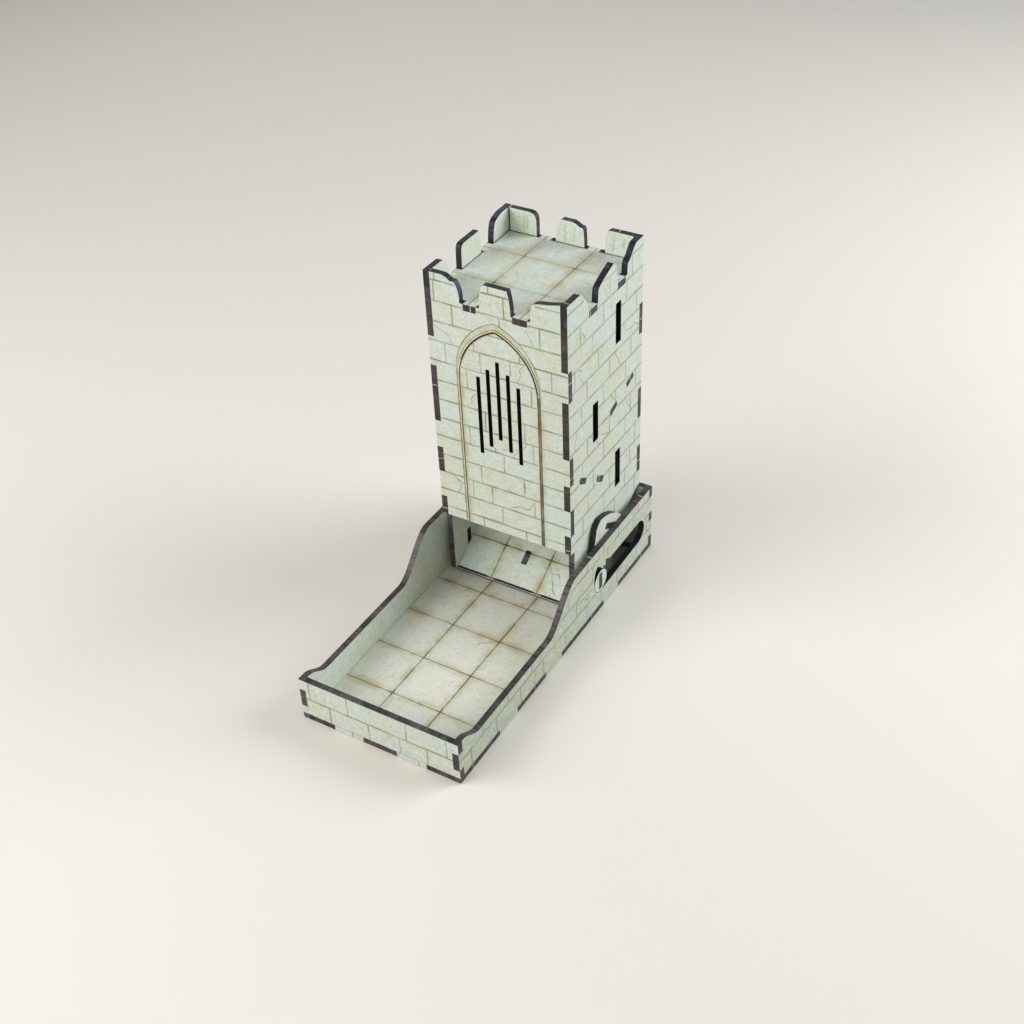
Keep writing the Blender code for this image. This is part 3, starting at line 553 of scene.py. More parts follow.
BOARD_ROUGHNESS = 0.78
SHEEN = 0.3                # the shaders' specular level
FACE_LIMIT = 0.9
STRIPE_SQUEEZE = 0.96
BUMP_DEPTH = 0.00008
BUMP_STRENGTH = 0.35


def placed(tree, group):
    node = tree.nodes.new("ShaderNodeGroup")
    node.node_tree = group
    return node


def board_placed(tree, cool=None, warm=None):
    """The board's node group in a material, with its own two tones where they are given."""
    board = placed(tree, board_group)
    if cool is not None:
        board.inputs["Cool"].default_value = cool
        board.inputs["Warm"].default_value = warm
    return board


def fresh_material(name):
    material = bpy.data.materials.new(name)
    material.use_nodes = True
    tree = material.node_tree
    shader = tree.nodes["Principled BSDF"]
    shader.inputs["Specular IOR Level"].default_value = SHEEN
    where = tree.nodes.new("ShaderNodeTexCoord")
    return material, tree, shader, where


def raised(tree, height, shader):
    bump = tree.nodes.new("ShaderNodeBump")
    bump.inputs["Strength"].default_value = BUMP_STRENGTH
    bump.inputs["Distance"].default_value = BUMP_DEPTH
    wire(tree, height, bump.inputs["Height"])
    wire(tree, bump.outputs["Normal"], shader.inputs["Normal"])


def plate_material(name, normal, cool=None, warm=None):
    """Board on the two faces that lie square to the sheet's normal, and charred edges elsewhere.

    The mask is |surface normal · sheet normal| above a limit. The burn stripes are noise squeezed
    along the sheet's normal.
    """
    material, tree, shader, where = fresh_material(name)
    normal = np.array(normal, float)
    dot = node_of(tree, "ShaderNodeVectorMath", operation="DOT_PRODUCT")
    dot.inputs[1].default_value = tuple(normal)
    wire(tree, where.outputs["Normal"], dot.inputs[0])
    face = reckoned(tree, "GREATER_THAN", reckoned(tree, "ABSOLUTE", dot.outputs["Value"]), FACE_LIMIT)
    board = board_placed(tree, cool, warm)
    char = placed(tree, char_group)
    stripes = node_of(tree, "ShaderNodeMapping")
    stripes.inputs["Scale"].default_value = tuple(1 - STRIPE_SQUEEZE * np.abs(normal))
    wire(tree, where.outputs["Object"], stripes.inputs["Vector"])
    wire(tree, where.outputs["Object"], board.inputs["Coordinates"])
    wire(tree, where.outputs["Object"], char.inputs["Coordinates"])
    wire(tree, stripes.outputs["Vector"], char.inputs["Stripes"])
    wire(tree, blended(tree, face, char.outputs["Colour"], board.outputs["Colour"]),
         shader.inputs["Base Color"])
    rough = reckoned(tree, "MULTIPLY_ADD", face,
                     reckoned(tree, "SUBTRACT", BOARD_ROUGHNESS, char.outputs["Roughness"]),
                     char.outputs["Roughness"])
    wire(tree, rough, shader.inputs["Roughness"])
    height = reckoned(tree, "ADD", reckoned(tree, "MULTIPLY", board.outputs["Height"], face),
                      reckoned(tree, "MULTIPLY", char.outputs["Height"],
                               reckoned(tree, "SUBTRACT", 1.0, face)))
    raised(tree, height, shader)
    return material


# Scorched lines: two tones of the halo beside a line, and two of its core
OLIVE = ((177, 180, 139), (180, 172, 133), (84, 88, 64), (92, 88, 64))
BROWN = ((187, 181, 145), (191, 178, 142), (90, 87, 63), (97, 87, 62))
BLACK_TINT = colour(38, 35, 31)
LINE_PATCHES = (130.0, 2.0, 0.5)
LINE_TINTS = (48.0, 1.0, 0.5)
HALO_TINTS_BETWEEN = (0.44, 0.64)
HALO_BURN = (0.0, 0.62)        # the burn between which the halo grows
HALO_PATCHES = (0.38, 0.66)
HALO_STRENGTH = (0.5, 0.22)    # how much the patches add to it, and its least value
CORE_TINTS_BETWEEN = (0.40, 0.60)
CORE_BURN = (0.50, 0.94)
CORE_PATCHES = (0.30, 0.60)
CORE_STRENGTH = (0.3, 0.42)
BLACK_BURN = (0.55, 0.90)
BLACK_BETWEEN = (1.9, 4.0)     # strengths of a line between which its core turns from brown to black
SOLID_BETWEEN = (5.0, 5.6)     # and between which it turns black to its very margins


def line_material(name, tones=OLIVE, cool=None, warm=None):
    """A scorched hairline: the board's own colour at its margins, yellowed towards the line and
    olive brown in it, both uneven along the line.
    """
    material, tree, shader, where = fresh_material(name)
    board = board_placed(tree, cool, warm)
    wire(tree, where.outputs["Object"], board.inputs["Coordinates"])
    burn = node_of(tree, "ShaderNodeAttribute", attribute_name="burn").outputs["Fac"]
    tone = node_of(tree, "ShaderNodeAttribute", attribute_name="tone").outputs["Fac"]
    patches = noise(tree, where.outputs["Object"], *LINE_PATCHES)
    tint = noise(tree, where.outputs["Object"], *LINE_TINTS)
    pale_halo, warm_halo, pale_core, warm_core = (colour(*seen) for seen in tones)

    def uneven(reach, uneven_between, strength):
        """How far one of the two shows: by the burn, patchily, and more for a stronger line."""
        varied = reckoned(tree, "MULTIPLY_ADD", ramp_between(tree, patches, *uneven_between), *strength)
        share = reckoned(tree, "MULTIPLY", ramp_between(tree, burn, *reach), varied)
        return reckoned(tree, "MINIMUM", reckoned(tree, "MULTIPLY", share, tone), 1.0)

    halo_colour = blended(tree, ramp_between(tree, tint, *HALO_TINTS_BETWEEN), pale_halo, warm_halo)
    halo = uneven(HALO_BURN, HALO_PATCHES, HALO_STRENGTH)
    base = blended(tree, halo, board.outputs["Colour"], halo_colour)
    core_colour = blended(tree, ramp_between(tree, tint, *CORE_TINTS_BETWEEN), pale_core, warm_core)
    base = blended(tree, uneven(CORE_BURN, CORE_PATCHES, CORE_STRENGTH), base, core_colour)
    black = reckoned(tree, "MULTIPLY", ramp_between(tree, burn, *BLACK_BURN),
                     ramp_between(tree, tone, *BLACK_BETWEEN))
    black = reckoned(tree, "MAXIMUM", black, ramp_between(tree, tone, *SOLID_BETWEEN))
    wire(tree, blended(tree, black, base, BLACK_TINT), shader.inputs["Base Color"])
    shader.inputs["Roughness"].default_value = BOARD_ROUGHNESS
    return material


# The tray's right wall gets a darker, yellower board as painted shade, for the light that falls off low
# down. The floor's board is sandier in its own colour, and painted paler as light.
SHADED_BOARD = (colour(188, 198, 183), colour(188, 193, 166))
LIT_SANDY_BOARD = (colour(215, 218, 207), colour(219, 215, 198))
scorched_line = line_material("scorched_line")
scorched_brown_line = line_material("scorched_brown_line", BROWN)
# lines on the right wall's board of painted shade, and on the floor's sandy board painted paler as light
scorched_shaded_line = line_material("scorched_line_on_shaded_board", OLIVE, *SHADED_BOARD)
scorched_lit_sandy_line = line_material("scorched_line_on_lit_sandy_board", BROWN, *LIT_SANDY_BOARD)

SHEET_NORMALS = {
    "across": (1, 0, 0),
    "along": (0, 1, 0),
    "level": (0, 0, 1),
}
PLATES = {
    "tray_front_wall": "along", "tray_rear_wall": "along", "tray_left_wall": "across",
    "tower_front_wall": "along", "tower_rear_wall": "along",
    "tower_left_wall": "across", "tower_right_wall": "across", "roof_plate": "level",
    "ramp_rib": "across", "left_hinge_plate": "across", "right_hinge_plate": "across",
    "left_pivot_disc": "across", "right_pivot_disc": "across",
    "left_pivot_key": "along", "right_pivot_key": "along",
}
SLOPES = {"upper_baffle": 21.0, "lower_baffle": -30.0, "exit_ramp": 31.6,
          "left_plate_key": -30.0, "right_plate_key": -30.0}


def dress(plate, material):
    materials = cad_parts[plate].data.materials
    materials.clear()
    materials.append(material)


def dress_plates():
    """Each plate gets the board whose faces lie as its own do."""
    boards = {way: plate_material("board_facing_" + way, normal) for way, normal in SHEET_NORMALS.items()}
    for plate, way in PLATES.items():
        dress(plate, boards[way])
    # painted shade: the tray's right wall gets a darker, yellower board
    dress("tray_right_wall", plate_material("shaded_board_facing_across", SHEET_NORMALS["across"], *SHADED_BOARD))
    # painted light: the floor's board is paler, and sandier in its own colour
    dress("tray_floor", plate_material("lit_sandy_board_facing_level", SHEET_NORMALS["level"], *LIT_SANDY_BOARD))
    for plate, degrees in SLOPES.items():
        slope = math.radians(degrees)
        dress(plate, plate_material("board_of_" + plate, (0, -math.sin(slope), math.cos(slope))))


dress_plates()


# Strokes of each face

def pen(half_width, strength, drift=0.1, tapered=False, peak=1.0):
    """How a line is drawn, in mm: its strength darkens it, its drift is how far it wavers, and a peak
    below 1 keeps a wide band from having a dark middle.
    """
    return half_width, strength, drift, tapered, peak


def fainter(tool, share):
    half_width, strength, *rest = tool
    return (half_width, strength * share, *rest)


def drawn(lines, tool):
    """Strokes: each of the lines, with the same pen."""
    return [(line, tool) for line in lines]


SOLID = 7.0                # a strength that makes a line black to its margins
COURSE_WIDTH = 1.15
COURSE_PEN = pen(COURSE_WIDTH, 1.05)
COURSE_GLOW = pen(2.6, 1.3, peak=0.3)
JOINT_PEN = pen(COURSE_WIDTH * 0.9, 0.9)
CRACK_PEN = pen(0.6, 1.1, 0.05, tapered=True)
SIDE_SHARE = 0.85          # the side walls' lines are that much fainter
SIDE_DROP = 0.6            # and lie that much lower
LEFT_CRACKS_ABOUT = 144.8

FOOT_LINE = 3.1
FOOT_LINE_PEN = pen(0.7, 0.8, 0.06)

FLAG_WIDTH = 1.5
FLAG_GLOW = pen(6.6, 1.8, peak=0.5)
FLOOR_STRENGTH = 1.1
ROOF_STRENGTH = 0.8
FLOOR_NEAR = 3.3           # where the floor's lines begin, behind the front wall
ALONG_DARKER = 1.15        # the lines along a floor are stronger by this share
CROSSING_REACH = 2.6       # how far a crossing's darker burn runs along each line
CROSSING_GLOW = pen(2.6, 1.8, 0.0, True, 0.36)
CROSSING_DARKER = 0.7      # how much stronger a line is there
CROSSING_PEAK = 1.05
FLOOR_SPECKS = ((-28.8, 93.8), (-24.4, 91.1), (15.9, 75.3), (-21.2, 61.8), (-18.6, 53.2))
SPECK = (0.35, 0.1)
SPECK_PEN = pen(0.3, SOLID, 0.0)


def stone_strokes(courses, joints, low, high, drop=0.0, share=1.0):
    """Level lines right across a face, each on a faint wide glow, and upright joints between them."""
    def level(end):
        return courses[end] - drop if isinstance(end, int) else end

    levels = [[(low, z - drop), (high, z - drop)] for z in courses]
    uprights = [[(place, level(foot)), (place, level(head))]
                for foot, head, places in joints for place in places]
    return (drawn(levels, COURSE_GLOW) + drawn(levels, fainter(COURSE_PEN, share))
            + drawn(uprights, fainter(JOINT_PEN, share)))


def speck_strokes(places):
    """Small burnt specks, each a very short black stroke."""
    return drawn([[place, np.add(place, SPECK)] for place in places], SPECK_PEN)


def crack_strokes(cracks):
    return drawn([smoothed(crack) for crack in cracks], CRACK_PEN)


def flag_strokes(across, along, half, near, far, strength):
    """Lines across and along a floor, burnt darker for a short way about each crossing."""
    over = [[(-half, y), (half, y)] for y in across]
    back = [[(x, near), (x, far)] for x in along]
    strokes = drawn(over + back, FLAG_GLOW)
    strokes += drawn(over, pen(FLAG_WIDTH, strength))
    strokes += drawn(back, pen(FLAG_WIDTH, strength * ALONG_DARKER))
    darker = pen(FLAG_WIDTH, strength + CROSSING_DARKER, 0.0, True, CROSSING_PEAK)
    for x in along:
        for y in across:
            for reach in ((CROSSING_REACH, 0), (0, CROSSING_REACH)):
                ends = [np.subtract((x, y), reach), np.add((x, y), reach)]
                strokes += drawn([ends], CROSSING_GLOW) + drawn([ends], darker)
    return strokes


def mirrored(strokes, about):
    """Strokes of a side face, turned end for end about a place."""
    return [([(2 * about - a, b) for a, b in line], tool) for line, tool in strokes]


# The blind arch, as (half span, springing, apex): its outer, second and inner lines and its tan band
ARCH_MIDDLE = -0.6
ARCH_FOOT = 42.0
ARCH_RIGHT_WIDER = 1.15
ARCH_STEPS = 26
ARCH_OUTER = (20.6, 127.0, 155.4)
ARCH_SECOND = (20.4, 123.5, 152.7)
ARCH_INNER = (19.3, 123.0, 151.3)
ARCH_TAN = (20.4, 125.0, 154.3)

TAN_BAND = pen(2.2, 1.6, 0.03, peak=0.40)
LEG_GLOWS = (pen(3.4, 2.2, peak=0.42), pen(4.6, 2.2, peak=0.42))
LEG_GLOW_PLACES = (0.9, 1.2)   # how far to the right of its leg each glow lies
LEG_FILL = pen(1.5, 2.2, 0.03, peak=0.85)
OUTER_PEN = pen(0.75, 1.5, 0.03, peak=0.95)
LEFT_SECOND_PEN = pen(0.8, 1.4, 0.03, peak=0.95)
RIGHT_SECOND_PEN = pen(0.95, 1.8, 0.03, peak=0.98)
INNER_PEN = pen(1.0, 3.0, 0.03)
HEAD_PEN = pen(1.1, 4.4, 0.02, peak=1.2)
HEAD_CORE = pen(0.27, SOLID, 0.02, True, 1.35)


def arch_line(half, spring, apex, foot):
    """A pointed arch on legs, as its left and right halves from the foot up.

    Each half is an arc struck from the far side: its radius r fits half span a and rise b by
    r = (a² + b²) / 2a.
    """
    rise = apex - spring
    radius = (half * half + rise * rise) / (2 * half)
    sweep = np.linspace(0, math.asin(rise / radius), ARCH_STEPS)
    right = np.column_stack([half - radius + radius * np.cos(sweep), spring + radius * np.sin(sweep)])
    right = np.vstack([[(half, foot)], right])
    return [side + (ARCH_MIDDLE, 0) for side in (right * (-1, 1), right)]


def arch_pair(half, spring, apex):
    """An arch line's two halves, the right one wider as the moulding's is."""
    left = arch_line(half, spring, apex, ARCH_FOOT)[0]
    return left, arch_line(half + ARCH_RIGHT_WIDER, spring, apex, ARCH_FOOT)[1]


def under_arch(points, half, spring, apex):
    """Which points lie inside such an arch: between its legs, or nearer than its radius to the
    centre of the arc on their own side.
    """
    half = np.where(points[:, 0] > ARCH_MIDDLE, half + ARCH_RIGHT_WIDER, half)
    rise = apex - spring
    radius = (half * half + rise * rise) / (2 * half)
    across = np.abs(points[:, 0] - ARCH_MIDDLE)
    above = np.maximum(points[:, 1] - spring, 0)
    return np.hypot(across - half + radius, above) < radius


def clear_of_moulding(strokes):
    """The same strokes, broken off where they would cross the arch's moulding."""
    kept = []
    for line, tool in strokes:
        line = resampled(line, SAMPLE_STEP)
        moulding = under_arch(line, *ARCH_OUTER) & ~under_arch(line, *ARCH_INNER)
        kept += drawn(runs_where(line, ~moulding), tool)
    return kept


def arch_strokes():
    """A tan band, two fine lines, and an inner line that is burnt black round its head. Each leg has
    a wide brown glow, and the right leg's two lines are both dark with brown between them.
    """
    left, right = arch_pair(*ARCH_INNER)
    left_second, right_second = arch_pair(*ARCH_SECOND)
    left_glow, right_glow = ([(leg[0][0] + place, ARCH_FOOT), (leg[0][0] + place, leg[3][1])]
                             for leg, place in zip((left, right), LEG_GLOW_PLACES))
    between_lines = (right[0][0] + right_second[0][0]) / 2
    fill = [(between_lines, ARCH_FOOT), (between_lines, right[2][1])]
    rows = (
        (arch_pair(*ARCH_TAN), TAN_BAND), ([left_glow], LEG_GLOWS[0]), ([right_glow], LEG_GLOWS[1]),
        ([fill], LEG_FILL), (arch_pair(*ARCH_OUTER), OUTER_PEN), ([left_second], LEFT_SECOND_PEN),
        ([right_second], RIGHT_SECOND_PEN), ([right_second[:2], left, right], INNER_PEN),
        ([left[8:], right[3:]], HEAD_PEN), ([left[10:], right[10:]], HEAD_CORE))
    return [stroke for lines, tool in rows for stroke in drawn(lines, tool)]


def make_tower_engravings():
    front = stone_strokes(COURSES, FRONT_JOINTS, -TOWER_HALF, TOWER_HALF) + crack_strokes(FRONT_CRACKS)
    rear = stone_strokes(COURSES, REAR_JOINTS, -TOWER_HALF, TOWER_HALF)
    side = stone_strokes(COURSES, SIDE_JOINTS, TOWER_FRONT, TOWER_REAR, SIDE_DROP, SIDE_SHARE)
    cracks = crack_strokes(SIDE_CRACKS)
    left_cracks = mirrored(cracks[:7], LEFT_CRACKS_ABOUT)
    roof = flag_strokes(ROOF_ACROSS, ROOF_ALONG, TOWER_HALF, TOWER_FRONT, TOWER_REAR, ROOF_STRENGTH)
    ramp = flag_strokes(RAMP_ACROSS, RAMP_ALONG, TOWER_HALF, RAMP_FRONT, TOWER_REAR, FLOOR_STRENGTH)
    ramp += crack_strokes(RAMP_CRACKS)
    for name, node, face, strokes, seed, material in (
            ("front_wall_stones", "tower_front_wall", "tower_front", clear_of_moulding(front), 11, None),
            ("front_wall_arch", "tower_front_wall", "tower_front", arch_strokes(), 21,
             scorched_brown_line),
            ("right_wall_stones", "tower_right_wall", "tower_right", side + cracks, 12, None),
            ("left_wall_stones", "tower_left_wall", "tower_left", side + left_cracks, 13, None),
            ("rear_wall_stones", "tower_rear_wall", "tower_rear", rear, 14, None),
            ("roof_flagstones", "roof_plate", "roof", roof, 15, scorched_brown_line),
            ("ramp_flagstones", "exit_ramp", "ramp", ramp, 16, None)):
        engraving(name, node, face, strokes, seed, "tower", material)


def make_tray_engravings():
    floor = flag_strokes(FLOOR_ACROSS, FLOOR_ALONG, TRAY_HALF, FLOOR_NEAR, TRAY_REAR, FLOOR_STRENGTH)
    floor += crack_strokes(FLOOR_CRACKS) + speck_strokes(FLOOR_SPECKS)
    front = stone_strokes(TRAY_COURSES[:1], TRAY_FRONT_JOINTS, -TRAY_HALF, TRAY_HALF)
    front += drawn([[(low, FOOT_LINE), (high, FOOT_LINE)] for low, high in TRAY_FRONT_FOOT_LINES],
                   FOOT_LINE_PEN)
    side = stone_strokes(TRAY_COURSES, TRAY_SIDE_JOINTS, 0.0, TRAY_REAR)
    cracks = crack_strokes(TRAY_SIDE_CRACKS)
    rear = stone_strokes(TRAY_COURSES, TRAY_REAR_JOINTS, -TRAY_HALF, TRAY_HALF)
    for name, node, face, strokes, seed, material in (
            ("floor_flagstones", "tray_floor", "tray_floor", floor, 17, scorched_lit_sandy_line),
            ("tray_front_stones", "tray_front_wall", "tray_front", front, 18, None),
            ("tray_right_stones", "tray_right_wall", "tray_right", side + cracks, 19,
             scorched_shaded_line),
            ("tray_left_stones", "tray_left_wall", "tray_left", side + cracks[2:], 20, None),
            ("tray_rear_stones", "tray_rear_wall", "tray_rear", rear, 21, None)):
        engraving(name, node, face, strokes, seed, "tray", material)


make_tower_engravings()
make_tray_engravings()


# Dark seams in the corners behind the merlons, smoke stains down them, and a black line at the ramp's toe
# that is partly its charred edge and partly painted shadow of the gap beneath it
SEAM_PLACE = 31.55
SEAM_PEN = pen(0.24, SOLID, 0.02, peak=1.2)
FOOT_SEAM_HALF = 31.9
FOOT_SEAM_LIFT = 0.22      # above the roof
FOOT_SEAM_PEN = pen(0.2, SOLID, 0.02)
STAINS = ((-24.1, 162.4, 173.0), (-22.6, 164.0, 171.0), (-2.8, 163.0, 171.6), (1.6, 165.0, 170.6),
          (21.4, 163.2, 172.6), (26.3, 166.0, 172.0))      # across, from and up to
STAIN_LEAN = 0.4
STAIN_PEN = pen(1.9, 1.6, 0.35, True, 0.45)
TOE_LINE = 114.85
TOE_HALF = 33.0
TOE_CHAR_AND_SHADOW_PEN = pen(0.5, SOLID, 0.02)
BURN_SEED = 22


def make_burns():
    """Seams are burnt black up the corners and along the feet of the merlons. The black line along the
    ramp's toe is partly its charred edge and partly painted shadow of the gap beneath it.
    """
    corners = drawn([[(side * SEAM_PLACE, ROOF_TOP), (side * SEAM_PLACE, TOP)] for side in (-1, 1)],
                    SEAM_PEN)
    foot = ROOF_TOP + FOOT_SEAM_LIFT
    across = drawn([[(-FOOT_SEAM_HALF, foot), (FOOT_SEAM_HALF, foot)]], FOOT_SEAM_PEN)
    along = drawn([[(TOWER_FRONT + BOARD, foot), (TOWER_REAR - BOARD, foot)]], FOOT_SEAM_PEN)
    stains = drawn([[(x, low), (x + STAIN_LEAN, high)] for x, low, high in STAINS], STAIN_PEN)
    # partly charred edge, partly painted shadow: a black line along the ramp's toe
    toe_char_and_shadow = drawn([[(-TOE_HALF, TOE_LINE), (TOE_HALF, TOE_LINE)]], TOE_CHAR_AND_SHADOW_PEN)
    for name, node, face, strokes in (
            ("rear_merlon_burns", "tower_rear_wall", "tower_rear_inner", stains + corners + across),
            ("front_merlon_burns", "tower_front_wall", "tower_front_inner", corners + across),
            ("left_merlon_burns", "tower_left_wall", "tower_left_inner", along),
            ("right_merlon_burns", "tower_right_wall", "tower_right_inner", along),
            ("ramp_toe_char_and_shadow", "exit_ramp", "ramp", toe_char_and_shadow)):
        engraving(name, node, face, strokes, BURN_SEED, "tower")


make_burns()


# Nibs that held the plates in the sheet

GUARD_TOP = 37.3
TOWER_TOP = 173.0
NIB_FACES = {
    "tray_top": plane((0, 0, GUARD_TOP), (1, 0, 0), (0, 1, 0), (0, 0, 1)),
    "tower_top": plane((0, 0, TOWER_TOP), (1, 0, 0), (0, 1, 0), (0, 0, 1)),
}

# Pale uncharred stubs right across a dark edge: (face, where it starts, where it ends, body)
NIBS = (
    ("tower_front", (-34.9, 115.0), (-32.1, 115.3), "tower"),
    ("tower_front", (-34.9, 74.4), (-32.1, 74.8), "tower"),
    ("tower_front", (-34.9, 45.2), (-32.1, 45.5), "tower"),
    ("tower_front", (32.1, 44.3), (34.9, 44.5), "tower"),
    ("tower_front", (-12.0, 158.3), (-11.9, 161.2), "tower"),
    ("tower_right", (110.5, 135.2), (113.3, 135.4), "tower"),
    ("tower_right", (110.5, 85.3), (113.3, 85.6), "tower"),
    ("tower_right", (176.9, 131.9), (179.7, 131.6), "tower"),
    ("tower_right", (176.9, 52.8), (179.7, 52.5), "tower"),
    ("tower_right", (130.4, 158.3), (130.4, 161.2), "tower"),
    ("tower_right", (168.8, 103.9), (167.8, 106.7), "tower"),
    ("tower_right", (136.9, 67.4), (138.3, 69.8), "tower"),
    ("tower_top", (-31.4, 177.0), (-31.6, 179.7), "tower"),
    ("tower_top", (24.1, 177.0), (23.8, 179.7), "tower"),
    ("tower_top", (32.2, 113.2), (34.8, 113.0), "tower"),
    ("tower_left", (110.5, 134.6), (113.3, 134.8), "tower"),
    ("tower_left", (176.9, 86.8), (179.7, 86.6), "tower"),
    ("tray_right", (10.0, 0.1), (9.9, 2.9), "tray"),
    ("tray_right", (63.6, 0.1), (63.5, 2.9), "tray"),
    ("tray_right", (117.6, 0.1), (117.4, 2.9), "tray"),
    ("tray_right", (169.4, 0.1), (169.2, 2.9), "tray"),
    ("tray_left", (12.0, 0.1), (12.1, 2.9), "tray"),
    ("tray_left", (62.0, 0.1), (62.1, 2.9), "tray"),
    ("tray_left", (112.0, 0.1), (112.1, 2.9), "tray"),
    ("tray_top", (38.6, 118.7), (41.4, 118.5), "tray"),
    ("tray_top", (38.6, 171.2), (41.4, 170.9), "tray"),
    ("tray_top", (-41.4, 126.0), (-38.6, 126.2), "tray"),
)
NIB_HALF_WIDTH = 0.22
NIB_POINTS = 5
# Its cross-section: (share of its half width, lift above the edge in mm)
NIB_SECTION = ((-1.0, 0.0), (-0.7, 0.05), (0.7, 0.05), (1.0, 0.0), (1.0, -0.1), (-1.0, -0.1))
NIB_COOL = colour(196, 190, 176)
NIB_WARM = colour(170, 156, 132)


def make_nibs():
    """Each nib is its small cross-section, a low trapezium, carried across the edge."""
    section = np.array(NIB_SECTION)
    for body in ("tower", "tray"):
        points, faces, start = [], [], 0
        for face_name, low, high, of_body in NIBS:
            if of_body != body:
                continue
            face = {**FACES, **NIB_FACES}[face_name]
            origin, across, up, outward = face
            line = np.linspace(low, high, NIB_POINTS)
            way = (line[-1] - line[0]) / np.hypot(*(line[-1] - line[0]))
            side = np.array((-way[1], way[0])) * NIB_HALF_WIDTH
            grid = laid_on(face, line[:, None] + side * section[None, :, :1], section[None, :, 1])
            if np.dot(np.cross(across, up), outward) > 0:
                grid = grid[:, ::-1]
            points.append(grid.reshape(-1, 3))
            faces += tube_faces(*grid.shape[:2], start)
            start += grid.shape[0] * grid.shape[1]
        piece = surface_from(body + "_nibs", np.vstack(points), faces, {})
        piece.data.materials.append(nib_board)
        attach(piece, body)


def nib_material():
    """Bare board where a nib was broken off: paler than the char round it, a little browned."""
    material, tree, shader, where = fresh_material("broken_nib")
    board = board_placed(tree, NIB_COOL, NIB_WARM)
    wire(tree, where.outputs["Object"], board.inputs["Coordinates"])
    wire(tree, board.outputs["Colour"], shader.inputs["Base Color"])
    shader.inputs["Roughness"].default_value = BOARD_ROUGHNESS
    return material


nib_board = nib_material()
make_nibs()


# Camera, light and floor

AZIMUTH = math.radians(32.274)
ELEVATION = math.radians(38.076)
ROLL = math.radians(-2.779)
LENS = 51.82
SENSOR = 36.0
CAMERA_DISTANCE = 0.643932
CAMERA_ACROSS = 0.057383
CAMERA_UP = 0.103614
CAMERA_NEAR = 0.01


def make_camera():
    back = Vector((math.sin(AZIMUTH) * math.cos(ELEVATION), -math.cos(AZIMUTH) * math.cos(ELEVATION),
                   math.sin(ELEVATION)))
    level = Vector((math.cos(AZIMUTH), math.sin(AZIMUTH), 0))
    above = back.cross(level)
    right = math.cos(ROLL) * level + math.sin(ROLL) * above
    up = math.cos(ROLL) * above - math.sin(ROLL) * level
    data = bpy.data.cameras.new("camera")
    data.lens = LENS
    data.sensor_width = SENSOR
    data.sensor_fit = "HORIZONTAL"
    data.clip_start = CAMERA_NEAR
    camera = bpy.data.objects.new("camera", data)
    bpy.context.scene.collection.objects.link(camera)
    turn = Matrix((right, up, back)).transposed().to_4x4()
    place = right * CAMERA_ACROSS + up * CAMERA_UP + back * CAMERA_DISTANCE
    place.y -= TRAY_FRONT * MM
    camera.matrix_world = Matrix.Translation(place) @ turn
    bpy.context.scene.camera = camera


def make_lamp(name, place, target, size, watts, tint=(1.0, 1.0, 1.0)):
    data = bpy.data.lights.new(name, "AREA")
    data.shape = "DISK"
    data.size = size
    data.energy = watts
    data.color = tint
    lamp = bpy.data.objects.new(name, data)
    bpy.context.scene.collection.objects.link(lamp)
    way = Vector(target) - Vector(place)
    lamp.matrix_world = Matrix.Translation(place) @ way.to_track_quat("-Z", "Y").to_matrix().to_4x4()


FLOOR_SEEN = colour(226, 221, 212)
FLOOR_BOUNCE = colour(165, 158, 147)
FLOOR_ROUGHNESS = 0.85
FLOOR_REACH = 1.6
FLOOR_POINTS = 9
FLOOR_DROP = 0.0002        # under the tray, so that their faces don't meet


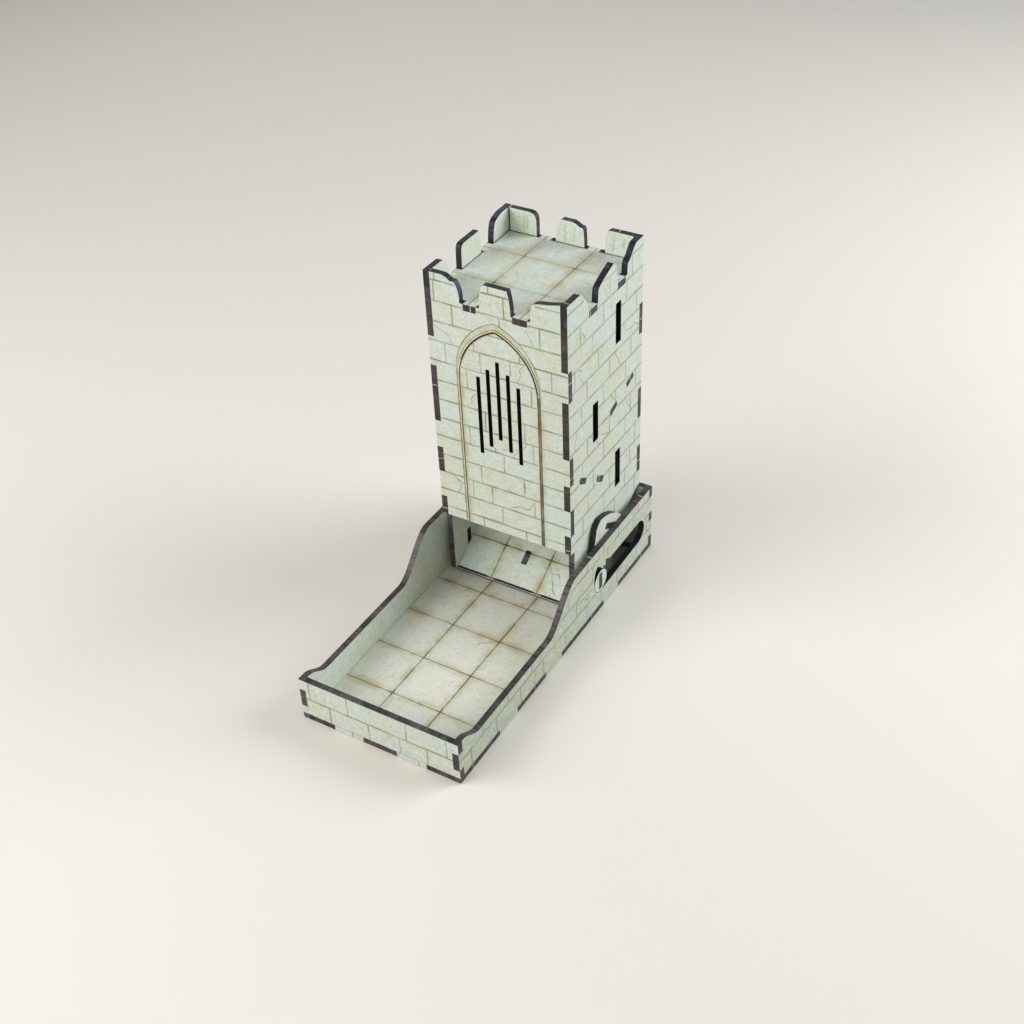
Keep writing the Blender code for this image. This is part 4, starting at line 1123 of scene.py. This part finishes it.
def make_floor():
    """A wide flat sheet as a grid, under the tray. It is darker to the light that it throws back."""
    side = np.linspace(-FLOOR_REACH, FLOOR_REACH, FLOOR_POINTS)
    across, along = np.meshgrid(side, side, indexing="ij")
    points = np.column_stack([across.ravel(), along.ravel(), np.full(across.size, -FLOOR_DROP)])
    squares = np.arange(FLOOR_POINTS - 1)
    corner = (squares[:, None] * FLOOR_POINTS + squares[None]).ravel()
    beyond = corner + FLOOR_POINTS
    faces = np.column_stack([corner, beyond, beyond + 1, corner + 1]).tolist()
    floor = surface_from("floor_sheet", points, faces, {})
    material, tree, shader, _ = fresh_material("pale_floor")
    path = tree.nodes.new("ShaderNodeLightPath")
    seen = reckoned(tree, "MAXIMUM", path.outputs["Is Camera Ray"], path.outputs["Is Glossy Ray"])
    seen = reckoned(tree, "MAXIMUM", seen, path.outputs["Is Transmission Ray"])
    wire(tree, blended(tree, seen, FLOOR_BOUNCE, FLOOR_SEEN), shader.inputs["Base Color"])
    shader.inputs["Roughness"].default_value = FLOOR_ROUGHNESS
    floor.data.materials.append(material)


ROOM_TINT = (0.94, 0.97, 1.0, 1.0)
ROOM_STRENGTH = 0.27


def make_world():
    world = bpy.data.worlds.new("soft_room")
    bpy.context.scene.world = world
    world.use_nodes = True
    tree = world.node_tree
    sky = tree.nodes["Background"]
    sky.inputs["Color"].default_value = ROOM_TINT
    sky.inputs["Strength"].default_value = ROOM_STRENGTH


# Lamps: place, watts, tint. Two windows do most of it, one ahead on the left, one behind on the right.
LAMP_TARGET = (0.0, 0.02, 0.06)
LAMP_SIZE = 0.8
LAMPS = {
    "left_window": ((-0.62, -0.62, 0.58), 7.9, (1.0, 0.995, 0.985)),
    "right_window": ((0.70, 0.55, 0.54), 9.2, (0.97, 1.0, 1.03)),
    "front_room": ((0.0, -0.95, 0.45), 3.0, (1.0, 1.0, 0.98)),
    "rear_room": ((-0.60, 0.70, 0.60), 1.0, (1.0, 1.0, 1.0)),
}

bpy.context.scene.view_settings.view_transform = "Standard"
make_camera()
make_floor()
make_world()
for lamp_name, (lamp_place, watts, lamp_tint) in LAMPS.items():
    make_lamp(lamp_name, lamp_place, LAMP_TARGET, LAMP_SIZE, watts, lamp_tint)
